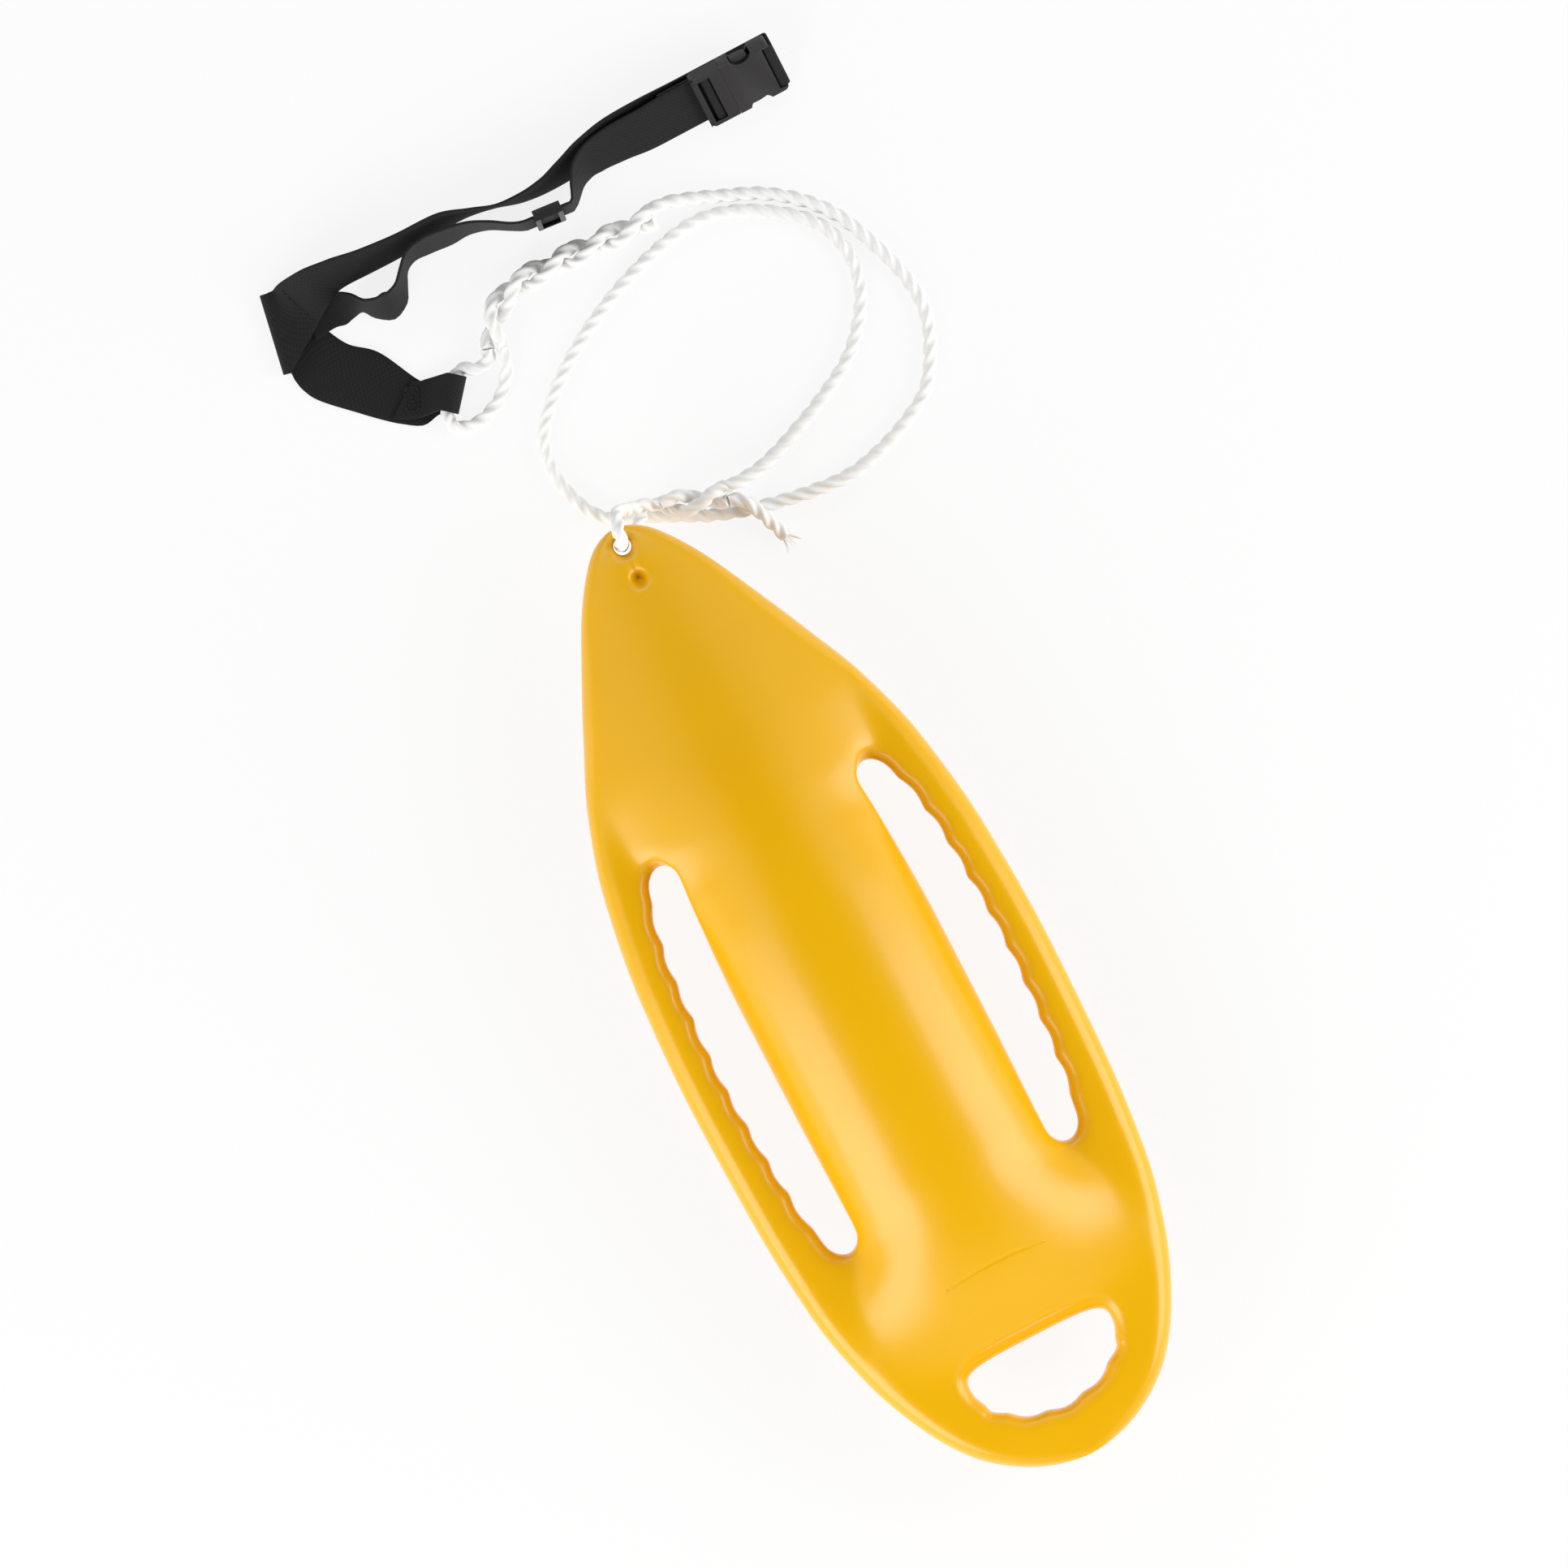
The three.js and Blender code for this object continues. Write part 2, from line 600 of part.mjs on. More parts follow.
function ropeHoleCutter() {
  const surface = skinHeight(ropeHoleStation, 0);
  const mouth = ropeHoleRadius + ropeHoleFlare;
  const above = [
    [ropeHoleRadius, ropeHoleWaist], [ropeHoleRadius + ropeHoleFlare / 3, (ropeHoleWaist + surface) / 2],
    [mouth, surface], [mouth, surface * 2],
  ];
  const below = above.map(([radius, level]) => [radius, -level]).reverse();
  const profile = [[0, -surface * 2], ...below, ...above, [0, surface * 2]];
  return turned(profile, 20, 0, canLength / 2 - ropeHoleStation).translate(0, 0, midHeight);
}

function dimpleCutter(side) {
  const surface = skinHeight(dimpleStation, 0);
  const profile = [
    [0, surface - dimpleDepth], [dimpleFloorRadius, surface - dimpleDepth],
    [dimpleRadius, surface], [dimpleRadius, surface * 2], [0, surface * 2],
  ];
  const cutter = turned(profile, 16, 0, canLength / 2 - dimpleStation);
  if (side < 0) {
    cutter.rotateY(Math.PI);
  }
  return cutter.translate(0, 0, midHeight);
}

function grooveCutter(side) {
  const sides = 12;
  const stops = [[0, grooveEndRadius], [0.5, grooveWaistRadius], [1, grooveEndRadius]];
  return loft(stops.map(([share, radius]) => {
    const s = ropeHoleStation + share * (dimpleStation - ropeHoleStation);
    const centre = skinHeight(s, 0) + radius - grooveDepth;
    const ring = [];
    for (let i = 0; i < sides; i += 1) {
      const turn = (2 * Math.PI * i) / sides;
      const z = midHeight + side * (centre + radius * Math.sin(turn));
      ring.push(new THREE.Vector3(radius * Math.cos(turn), canLength / 2 - s, z));
    }
    return ring;
  }));
}

function ventLevels() {
  const headTop = ventHeadInset + ventHeadThickness;
  const washerLow = headTop + strandGap;
  const washerTop = washerLow + ventWasherThickness;
  return { headTop, washerLow, washerTop, seat: washerTop + strandGap, stemTop: headTop + ventStemLength };
}

function ventCutter() {
  const { seat, stemTop } = ventLevels();
  const recess = ventHeadRadius + strandGap;
  const bore = ventStemRadius + strandGap;
  const profile = [
    [0, -seat], [recess, -seat], [recess, seat], [bore, seat],
    [bore, stemTop + strandGap * 3], [0, stemTop + strandGap * 3],
  ];
  return turned(profile, 20, 0, ventPlace);
}

function canShell() {
  const body = toSolid(shellBody());
  const shell = cut(body, [
    slotCutter(1), slotCutter(-1), gripCutter(), ropeHoleCutter(), dimpleCutter(1),
    dimpleCutter(-1), grooveCutter(1), grooveCutter(-1), ventCutter(),
  ]);
  return named("can_shell", toGeometry(shell), yellowShell);
}

function ventPlug() {
  const { headTop, stemTop } = ventLevels();
  const profile = [
    [0, ventHeadInset], [ventHeadRadius, ventHeadInset], [ventHeadRadius, headTop],
    [ventStemRadius, headTop], [ventStemRadius, stemTop], [0, stemTop],
  ];
  const slot = block(
    -ventSlotLength / 2, ventSlotLength / 2, ventPlace - ventSlotWidth / 2,
    ventPlace + ventSlotWidth / 2, 0, ventHeadInset + ventSlotDepth,
  );
  const solid = cut(toSolid(turned(profile, 20, 0, ventPlace)), [slot]);
  return named("vent_plug", toGeometry(solid), ventPlastic);
}

function ventWasher() {
  const { washerLow, washerTop } = ventLevels();
  const inner = ventStemRadius + strandGap;
  const profile = [
    [inner, washerLow], [ventWasherRadius, washerLow], [ventWasherRadius, washerTop],
    [inner, washerTop], [inner, washerLow],
  ];
  return named("vent_washer", turned(profile, 20, 0, ventPlace), washerRubber);
}

// Rope

function route(points) {
  return new THREE.CatmullRomCurve3(points.map((point) => new THREE.Vector3(...point)));
}

function ropeTube(points, steps, sides) {
  const outline = [];
  for (let i = 0; i < sides; i += 1) {
    const turn = (2 * Math.PI * i) / sides;
    outline.push(new THREE.Vector2(ropeRadius * Math.cos(turn), ropeRadius * Math.sin(turn)));
  }
  return new THREE.ExtrudeGeometry(new THREE.Shape(outline), {
    steps,
    extrudePath: route(points),
    bevelEnabled: false,
  });
}

// Two strands laid round each other, as one closed piece
function laidPair(points, turns, steps) {
  const sides = 14;
  const path = route(points);
  const up = new THREE.Vector3(0, 0, 1);
  const reach = ropeRadius + strandGap / 2;
  const rings = [];
  for (let i = 0; i <= steps; i += 1) {
    const centre = path.getPointAt(i / steps);
    const along = path.getTangentAt(i / steps);
    const across = along.clone().cross(up).normalize();
    const rise = across.clone().cross(along).normalize();
    const lay = (turns * 2 * Math.PI * i) / steps;
    const ring = [];
    for (let k = 0; k < sides; k += 1) {
      const turn = (2 * Math.PI * k) / sides;
      const radius = reach * Math.sqrt(4 * Math.cos(turn) ** 2 + 0.36 * Math.sin(turn) ** 2);
      const point = centre.clone();
      point.addScaledVector(across, radius * Math.cos(turn + lay));
      point.addScaledVector(rise, radius * Math.sin(turn + lay));
      ring.push(point);
    }
    rings.push(ring);
  }
  return loft(rings);
}

// The cut end of the rope, its strands let loose a little
function ropeTail() {
  const sides = 10;
  const steps = 12;
  const path = route(ropeTailRoute);
  const up = new THREE.Vector3(0, 0, 1);
  const rings = [];
  for (let i = 0; i <= steps; i += 1) {
    const share = i / steps;
    const centre = path.getPointAt(share);
    const along = path.getTangentAt(share);
    const across = along.clone().cross(up).normalize();
    const rise = across.clone().cross(along).normalize();
    const radius = ropeRadius + tailFlare * Math.max(0, (share - 0.75) / 0.25);
    const ring = [];
    for (let k = 0; k < sides; k += 1) {
      const turn = (2 * Math.PI * k) / sides;
      const point = centre.clone();
      point.addScaledVector(across, radius * Math.cos(turn));
      point.addScaledVector(rise, radius * Math.sin(turn));
      ring.push(point);
    }
    rings.push(ring);
  }
  return loft(rings);
}

// Least gap of the coil to itself, measured on points along its middle line
function leastCoilGap(points) {
  const count = 500;
  const path = route(points);
  const apart = Math.round((count * ropeRadius * 8) / path.getLength());
  const places = path.getSpacedPoints(count);
  let least = Infinity;
  for (let i = 0; i <= count; i += 1) {
    for (let k = i + apart; k <= count; k += 1) {
      least = Math.min(least, places[i].distanceTo(places[k]));
    }
  }
  return least - 2 * ropeRadius;
}

function ropePieces() {
  console.log(`tow rope length ${route(towRoute).getLength().toFixed(0)}`);
  console.log(`tow rope least gap to itself ${leastCoilGap(towRoute).toFixed(2)}`);
  return [
    named("tow_rope", ropeTube(towRoute, 78, 10), ropeWhite),
    named("belt_splice", laidPair(beltSpliceRoute, 2.5, 26), ropeWhite),
    named("belt_rope_eye", ropeTube(beltEyeRoute, 30, 8), ropeWhite),
    named("nose_splice", laidPair(noseSpliceRoute, 0.75, 10), ropeWhite),
    named("nose_rope_eye", ropeTube(noseEyeRoute, 34, 8), ropeWhite),
    named("rope_tail", ropeTail(), ropeWhite),
  ];
}

// Webbing

function ribbon(stations) {
  const last = stations.length - 1;
  return loft(stations.map((station, i) => {
    const before = stations[Math.max(0, i - 1)].centre;
    const after = stations[Math.min(last, i + 1)].centre;
    const along = after.clone().sub(before).normalize();
    const face = along.cross(station.half).normalize().multiplyScalar(webThickness / 2);
    return [[1, 1], [-1, 1], [-1, -1], [1, -1]].map(([side, skin]) => {
      return station.centre.clone().addScaledVector(station.half, side).addScaledVector(face, skin);
    });
  }));
}

// Stations between the rows: smooth curves, or straight where both rows say so
function between(stations) {
  const centres = new THREE.CatmullRomCurve3(stations.map((s) => s.centre), false, "centripetal");
  const halves = new THREE.CatmullRomCurve3(stations.map((s) => s.half), false, "catmullrom", 0.4);
  const spans = stations.length - 1;
  const list = [];
  for (let i = 0; i < spans; i += 1) {
    const [from, to] = [stations[i], stations[i + 1]];
    const steps = Math.max(1, Math.round(from.centre.distanceTo(to.centre) / stationStep));
    for (let k = 0; k < steps; k += 1) {
      const t = k / steps;
      if (from.straight && to.straight) {
        list.push({ centre: from.centre.clone().lerp(to.centre, t), half: from.half.clone() });
      } else {
        const at = (i + t) / spans;
        list.push({ centre: centres.getPoint(at), half: halves.getPoint(at) });
      }
    }
  }
  list.push(stations[spans]);
  return list;
}

// A webbing row on the floor: place, lean, lift and half width become a station
function leaning(rows) {
  const places = rows.map(([x, y]) => new THREE.Vector3(x * strapSpan, y * strapSpan, 0));
  const last = rows.length - 1;
  return rows.map(([, , lean, lift, halfShare, straight], i) => {
    const along = places[Math.min(last, i + 1)].clone().sub(places[Math.max(0, i - 1)]).normalize();
    if (straight) {
      const other = rows[i + 1] && rows[i + 1][5] ? i + 1 : i - 1;
      along.copy(places[Math.max(i, other)]).sub(places[Math.min(i, other)]).normalize();
    }
    const tilt = THREE.MathUtils.degToRad(lean);
    const halfWidth = halfShare * webWidth;
    const half = new THREE.Vector3(along.y * Math.cos(tilt), -along.x * Math.cos(tilt), Math.sin(tilt));
    half.multiplyScalar(halfWidth);
    const centre = places[i].clone();
    centre.z = half.z + (webThickness / 2) * Math.cos(tilt) + floorGap + lift * webWidth;
    return { centre, half, straight };
  });
}

function lying([x, y, halfX, halfY], z) {
  return {
    centre: new THREE.Vector3(x * strapSpan, y * strapSpan, z),
    half: new THREE.Vector3(halfX * strapSpan, halfY * strapSpan, 0),
  };
}

// Rounds the corners of a path drawn in the buckle's own length and thickness
function rounded(path, radius) {
  const cornerSteps = 4;
  const list = [path[0]];
  for (let i = 1; i < path.length - 1; i += 1) {
    const corner = new THREE.Vector2(...path[i]);
    const back = new THREE.Vector2(...path[i - 1]).sub(corner).normalize();
    const on = new THREE.Vector2(...path[i + 1]).sub(corner).normalize();
    const half = Math.acos(THREE.MathUtils.clamp(back.dot(on), -1, 1)) / 2;
    const run = radius / Math.tan(half);
    const middle = back.clone().add(on).normalize().multiplyScalar(radius / Math.sin(half)).add(corner);
    const start = corner.clone().addScaledVector(back, run).sub(middle);
    const end = corner.clone().addScaledVector(on, run).sub(middle);
    const sweep = Math.atan2(start.cross(end), start.dot(end));
    for (let k = 0; k <= cornerSteps; k += 1) {
      const point = start.clone().rotateAround(new THREE.Vector2(), (sweep * k) / cornerSteps);
      list.push(point.add(middle).toArray());
    }
  }
  list.push(path[path.length - 1]);
  return list;
}

const buckleFrame = new THREE.Group();
buckleFrame.rotation.set(
  THREE.MathUtils.degToRad(buckleTilt), 0, THREE.MathUtils.degToRad(buckleHeading), "ZYX",
);
buckleFrame.position.set(bucklePlace[0] * strapSpan, bucklePlace[1] * strapSpan, buckleHeight);
buckleFrame.updateMatrix();
buckleFrame.position.sub(
  new THREE.Vector3(buckleLength / 2, 0, 0).transformDirection(buckleFrame.matrix).multiplyScalar(
    buckleLength / 2,
  ),
);
buckleFrame.updateMatrix();

function inBuckle([x, z]) {
  const centre = new THREE.Vector3(x, 0, z).applyMatrix4(buckleFrame.matrix);
  const half = new THREE.Vector3(0, 1, 0).transformDirection(buckleFrame.matrix);
  return { centre, half: half.multiplyScalar(halfWeb) };
}

const adjusterAtPlug = (() => {
  const clear = strandGap + webThickness / 2;
  const over = centreBarTop + clear;
  const right = centreBarStart + centreBarWidth + clear;
  const left = centreBarStart - clear;
  const main = endBarLow - layerGap * 1.2 - webThickness / 2;
  const tail = main - layerPitch;
  const free = -0.06 * strapSpan;
  return { over, right, left, main, tail, free, corner: clear };
})();

function adjusterStrap() {
  const { over, right, left, main, tail, free, corner } = adjusterAtPlug;
  const threaded = rounded([
    [free, tail], [right, tail], [right, over], [left, over], [left, main], [free, main],
  ], corner).map(inBuckle);
  const rows = leaning(adjusterRows);
  const leave = threaded[threaded.length - 1];
  const onwards = between([leave, ...rows]).slice(1);
  return named("adjuster_strap", ribbon([...threaded, ...onwards]), webBlack);
}

const loopInner = -(buckleThickness / 2 + layerGap * 0.8 + webThickness / 2);
const loopOuter = loopInner - layerPitch + layerGap * 0.2;
const loopStart = collarEnd + layerGap * 8;
const loopEnd = collarEnd - layerGap * 4;

function buckleLoop() {
  const clear = layerGap * 0.8 + webThickness / 2;
  const inSlot = webSlotEnd - clear;
  const over = socketBarHalfThickness + clear;
  const beyond = buckleLength + clear;
  const path = rounded([
    [loopStart, loopInner], [inSlot, loopInner], [inSlot, over], [beyond, over],
    [beyond, loopOuter], [loopEnd, loopOuter],
  ], clear);
  return named("buckle_loop_webbing", ribbon(path.map(inBuckle)), webBlack);
}

function foldStations() {
  const along = new THREE.Vector2(...foldHalf).normalize();
  const out = new THREE.Vector3(-along.y, along.x, 0);
  const steps = 8;
  const list = [];
  for (let i = 0; i <= steps; i += 1) {
    const turn = quarterTurn - (Math.PI * i) / steps;
    const station = lying([...foldPlace, ...foldHalf], webRest + foldRadius);
    station.centre.addScaledVector(out, foldRadius * Math.cos(turn));
    station.centre.z += foldRadius * Math.sin(turn);
    list.push(station);
  }
  return list;
}

function eyeStations() {
  const radius = ropeRadius + eyeLooseness + webThickness / 2;
  const across = new THREE.Vector2(...eyeHalf).normalize();
  const out = new THREE.Vector3(across.y, -across.x, 0);
  const steps = 9;
  const list = [];
  for (let i = 0; i <= steps; i += 1) {
    const turn = -quarterTurn + (Math.PI * 1.25 * i) / steps;
    const station = lying([...eyePlace, ...eyeHalf], webRest + radius);
    station.centre.addScaledVector(out, radius * Math.cos(turn));
    station.centre.z += radius * Math.sin(turn);
    list.push(station);
  }
  return list;
}

function shoulderStrap() {
  const straightRun = [[loopEnd - strandGap, loopOuter], [-0.03 * strapSpan, loopOuter]].map(inBuckle);
  const over = lying(beforeFold, webRest + foldRadius * 2 + layerGap * 2);
  const top = between([...straightRun, ...leaning(shoulderRows), over, foldStations()[0]]);
  const lead = leadRows.map((row) => lying(row, webRest));
  const fold = foldStations();
  const low = between([fold[fold.length - 1], ...lead, eyeStations()[0]]);
  const flap = flapRows.map((row) => lying(row, webRest + layerPitch));
  const eye = eyeStations();
  const back = between([eye[eye.length - 1], ...flap]);
  const stations = [
    ...top.slice(0, -1), ...fold.slice(0, -1), ...low.slice(0, -1), ...eye.slice(0, -1), ...back,
  ];
  return named("shoulder_strap", ribbon(stations), webBlack);
}

// A sewn box with a cross in it, lying in its own plan and rising from zero
function sewnBox(length, width) {
  const [x, y, w] = [length / 2, width / 2, threadWidth];
  const bars = [
    block(-x, x, -y, -y + w, 0, threadHeight), block(-x, x, y - w, y, 0, threadHeight),
    block(-x, -x + w, -y, y, 0, threadHeight), block(x - w, x, -y, y, 0, threadHeight),
  ];
  const diagonal = Math.hypot(length - w, width - w);
  [1, -1].forEach((side) => {
    const bar = block(-diagonal / 2, diagonal / 2, -w / 2, w / 2, 0, threadHeight);
    bars.push(bar.rotateZ(side * Math.atan2(width - w, length - w)));
  });
  return toGeometry(join(bars));
}

function leadStitching() {
  const [first, , last] = flapRows.map((row) => lying(row, webRest + layerPitch));
  const along = last.centre.clone().sub(first.centre);
  const mesh = named("lead_stitching", sewnBox(leadPatchLength, leadPatchWidth), threadBlack);
  mesh.position.copy(first.centre).addScaledVector(along, 0.5);
  mesh.position.z += webThickness / 2 + threadSeat;
  mesh.rotation.z = Math.atan2(along.y, along.x);
  return mesh;
}

function loopStitching() {
  const mesh = named("loop_stitching", sewnBox(loopPatchLength, loopPatchWidth), threadBlack);
  mesh.position.set(
    (loopStart + webSlotStart) / 2, 0, loopOuter - webThickness / 2 - threadSeat - threadHeight,
  );
  return mesh;
}

function junctionStitching() {
  const rows = leaning(shoulderRows);
  const place = rows[rows.length - 1];
  const before = rows[rows.length - 2];
  const mesh = named(
    "junction_stitching",
    block(-junctionTackWidth / 2, junctionTackWidth / 2, -junctionTackLength / 2,
      junctionTackLength / 2, 0, threadHeight),
    threadBlack,
  );
  const across = place.half.clone().normalize();
  const along = before.centre.clone().sub(place.centre);
  along.addScaledVector(across, -along.dot(across)).normalize();
  const up = along.clone().cross(across).normalize();
  mesh.setRotationFromMatrix(new THREE.Matrix4().makeBasis(along, across, up));
  mesh.position.copy(place.centre).addScaledVector(up, webThickness / 2 + layerGap);
  return mesh;
}

// Buckle

function bucklePlug() {
  const side = buckleWidth / 2;
  const inner = side - sideRail;
  const bars = [
    block(0, endBarWidth, -side, side, endBarLow, endBarTop),
    block(centreBarStart, centreBarStart + centreBarWidth, -side, side, centreBarLow, centreBarTop),
    block(0, collarEnd, inner, side, -collarHalfThickness, endBarTop),
    block(0, collarEnd, -side, -inner, -collarHalfThickness, endBarTop),
    plate([
      [collarStart, -side], [collarEnd, -side], [collarEnd, side], [collarStart, side],
    ], -collarHalfThickness, endBarTop, plateEdge / 2),
    plate([
      [collarStart, -bladeHalfWidth], [bladeEnd - 2 * bladeTipHalfWidth, -bladeHalfWidth],
      [bladeEnd, -bladeTipHalfWidth], [bladeEnd, bladeTipHalfWidth],
      [bladeEnd - 2 * bladeTipHalfWidth, bladeHalfWidth], [collarStart, bladeHalfWidth],
    ], -bladeHalfThickness, bladeHalfThickness, plateEdge / 2),
  ];
  return named("buckle_plug", toGeometry(join(bars)), buckleBlack);
}

function thumbNotch(side) {
  const steps = 14;
  const outline = [];
  for (let i = 0; i < steps; i += 1) {
    const turn = (2 * Math.PI * i) / steps;
    const y = thumbReach + thumbRadius + thumbRadius * Math.sin(turn);
    outline.push([thumbCentre + thumbRadius * Math.cos(turn), side * y]);
  }
  return plate(side > 0 ? outline : outline.reverse(), -buckleThickness, buckleThickness);
}

function buckleSocket() {
  const side = buckleWidth / 2;
  const c = socketCorner;
  const outer = [
    [socketMouth, -side], [buckleLength - c, -side], [buckleLength - c / 3, -side + c / 3],
    [buckleLength, -side + c], [buckleLength, side - c], [buckleLength - c / 3, side - c / 3],
    [buckleLength - c, side], [socketMouth, side],
  ];
  const half = buckleThickness / 2;
  const body = toSolid(plate(outer, -half, half, plateEdge));
  const solid = cut(body, [
    block(socketMouth - c, cavityEnd, -cavityHalfWidth, cavityHalfWidth, -cavityHalfHeight, cavityHalfHeight),
    block(windowStart, windowEnd, -buckleWidth, buckleWidth, -cavityHalfHeight, cavityHalfHeight),
    thumbNotch(1),
    thumbNotch(-1),
    block(webSlotStart, webSlotEnd, -webSlotHalfWidth, webSlotHalfWidth, -buckleWidth, buckleWidth),
    block(webSlotEnd - strandGap, buckleLength + c, -webSlotHalfWidth, webSlotHalfWidth,
      socketBarHalfThickness, buckleWidth),
    block(webSlotEnd - strandGap, buckleLength + c, -webSlotHalfWidth, webSlotHalfWidth,
      -buckleWidth, -socketBarHalfThickness),
  ]);
  return named("buckle_socket", toGeometry(solid), buckleBlack);
}

function prong(name, side) {
  const outline = [];
  const rootSteps = 6;
  for (let i = 0; i <= rootSteps; i += 1) {
    const turn = quarterTurn + (Math.PI * i) / rootSteps;
    outline.push([
      prongRootStation + prongRootRadius * Math.cos(turn),
      prongRootSide + prongRootRadius * Math.sin(turn),
    ]);
  }
  outline.push([prongTip - prongRootRadius, prongInner + prongRootRadius]);
  outline.push([prongTip, prongTipSide - prongRootRadius]);
  outline.push([prongTip - prongRootRadius / 2, prongTipSide]);
  outline.push([(prongPad + prongTip) / 2, (prongPadSide + prongTipSide) / 2 + prongRootRadius / 4]);
  outline.push([prongPad, prongPadSide]);
  outline.push([(prongPad + prongShoulder) / 2, (prongPadSide + prongShoulderSide) / 2 + plateEdge / 4]);
  outline.push([prongShoulder, prongShoulderSide]);
  outline.push([prongShoulder, prongOuter]);
  const placed = outline.map(([x, y]) => [x, side * y]);
  const ordered = side > 0 ? placed : placed.reverse();
  return named(name, plate(ordered, -prongHalfThickness, prongHalfThickness), buckleBlack);
}

// Slider, drawn with its length along X, its width along Y and its thickness along Z

function slider() {
  const side = buckleWidth / 2;
  const end = sliderLength / 2;
  const inner = side - sliderRail;
  const bars = [
    block(-end, -end + sliderEndBar, -side, side, sliderInner, sliderOuter),
    block(end - sliderEndBar, end, -side, side, sliderInner, sliderOuter),
    block(-sliderCentreBar / 2, sliderCentreBar / 2, -side, side, -sliderOuter, -sliderInner),
    block(-end, end, inner, side, -sliderOuter, sliderOuter),
    block(-end, end, -side, -inner, -sliderOuter, sliderOuter),
  ];
  const mesh = named("triglide_slider", toGeometry(join(bars)), buckleBlack);
  const rows = leaning(adjusterRows).filter((row) => row.straight);
  const along = rows[0].centre.clone().sub(rows[1].centre);
  mesh.rotation.set(Math.asin(rows[0].half.z / halfWeb), 0, Math.atan2(along.y, along.x), "ZYX");
  mesh.position.copy(rows[0].centre).add(rows[1].centre).multiplyScalar(0.5);
  return mesh;
}

function rescueCan() {
  const whole = new THREE.Group();
  whole.name = "rescue_can_buoy";
  whole.add(canShell(), ventPlug(), ventWasher());
  const ahead = new THREE.Group();
  ahead.name = "rope_and_strap";
  ahead.position.y = canLength / 2;
  ahead.add(...ropePieces());
  ahead.add(adjusterStrap(), shoulderStrap(), buckleLoop());
  ahead.add(leadStitching(), junctionStitching(), slider());
  buckleFrame.name = "buckle";
  buckleFrame.add(
    bucklePlug(), buckleSocket(), prong("left_prong", 1), prong("right_prong", -1), loopStitching(),
  );
  ahead.add(buckleFrame);
  whole.add(ahead);
  return whole;
}

export default rescueCan();
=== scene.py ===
import math
import random

import bpy
from mathutils import Euler, Matrix, Vector


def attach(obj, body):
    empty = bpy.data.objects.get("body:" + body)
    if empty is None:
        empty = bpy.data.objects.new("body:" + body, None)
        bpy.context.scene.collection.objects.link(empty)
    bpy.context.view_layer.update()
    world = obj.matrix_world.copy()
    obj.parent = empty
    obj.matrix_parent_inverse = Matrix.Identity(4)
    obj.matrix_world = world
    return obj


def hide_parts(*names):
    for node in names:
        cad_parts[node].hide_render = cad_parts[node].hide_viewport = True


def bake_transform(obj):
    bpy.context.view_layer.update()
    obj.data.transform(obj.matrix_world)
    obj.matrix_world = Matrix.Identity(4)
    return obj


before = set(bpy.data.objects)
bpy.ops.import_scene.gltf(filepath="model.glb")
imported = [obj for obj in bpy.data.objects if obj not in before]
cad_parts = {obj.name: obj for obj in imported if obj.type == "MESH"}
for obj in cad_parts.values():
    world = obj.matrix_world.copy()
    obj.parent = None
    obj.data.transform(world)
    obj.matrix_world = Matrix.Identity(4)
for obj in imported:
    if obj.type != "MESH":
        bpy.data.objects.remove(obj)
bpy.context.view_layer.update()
scene = bpy.context.scene
random.seed(11)
print("frame loaded")

mm = 0.001
noseY = 0.3555  # the float lies along Y with its nose tip here
quarterTurn = math.pi / 2


# small helpers

# sRGB hex text to the linear values of a shader socket
def linearColour(hexText):
    parts = [int(hexText[i:i + 2], 16) / 255 for i in (0, 2, 4)]
    linear = [c / 12.92 if c <= 0.04045 else ((c + 0.055) / 1.055) ** 2.4 for c in parts]
    return (*linear, 1)


def deselectAll():
    if bpy.context.object and bpy.context.object.mode != "OBJECT":
        bpy.ops.object.mode_set(mode="OBJECT")
    bpy.ops.object.select_all(action="DESELECT")


def makeActive(obj):
    deselectAll()
    obj.select_set(True)
    bpy.context.view_layer.objects.active = obj


def applyModifier(obj, kind, **settings):
    makeActive(obj)
    modifier = obj.modifiers.new(kind.title(), kind)
    for name, value in settings.items():
        setattr(modifier, name, value)
    bpy.ops.object.modifier_apply(modifier=modifier.name)


def smoothShade(obj, degrees):
    makeActive(obj)
    bpy.ops.object.shade_smooth_by_angle(angle=math.radians(degrees))


def addObject(name, data):
    obj = bpy.data.objects.new(name, data)
    scene.collection.objects.link(obj)
    return obj


def meshObject(name, points, faces):
    mesh = bpy.data.meshes.new(name)
    mesh.from_pydata([tuple(p) for p in points], [], faces)
    mesh.update()
    return addObject(name, mesh)


def editAll(obj):
    makeActive(obj)
    bpy.ops.object.mode_set(mode="EDIT")
    bpy.ops.mesh.select_all(action="SELECT")


def normalsOut(obj):
    editAll(obj)
    bpy.ops.mesh.normals_make_consistent(inside=False)
    bpy.ops.object.mode_set(mode="OBJECT")


# closed body through rings that all have the same count of points
def skinRings(name, rings):
    around = len(rings[0])
    points = [p for ring in rings for p in ring]
    faces = []
    for first in range(0, len(points) - around, around):
        for i in range(around):
            a, b = first + i, first + (i + 1) % around
            faces.append((a, b, b + around, a + around))
    faces.append(tuple(range(around)))
    faces.append(tuple(range(len(points) - around, len(points))))
    obj = meshObject(name, points, faces)
    normalsOut(obj)
    return obj


def joinAll(objects, name):
    makeActive(objects[0])
    for obj in objects:
        obj.select_set(True)
    bpy.ops.object.join()
    objects[0].name = name
    return objects[0]


def cutAway(body, cutters):
    for cutter in cutters:
        applyModifier(body, "BOOLEAN", operation="DIFFERENCE", solver="EXACT", object=cutter)
        bpy.data.objects.remove(cutter)


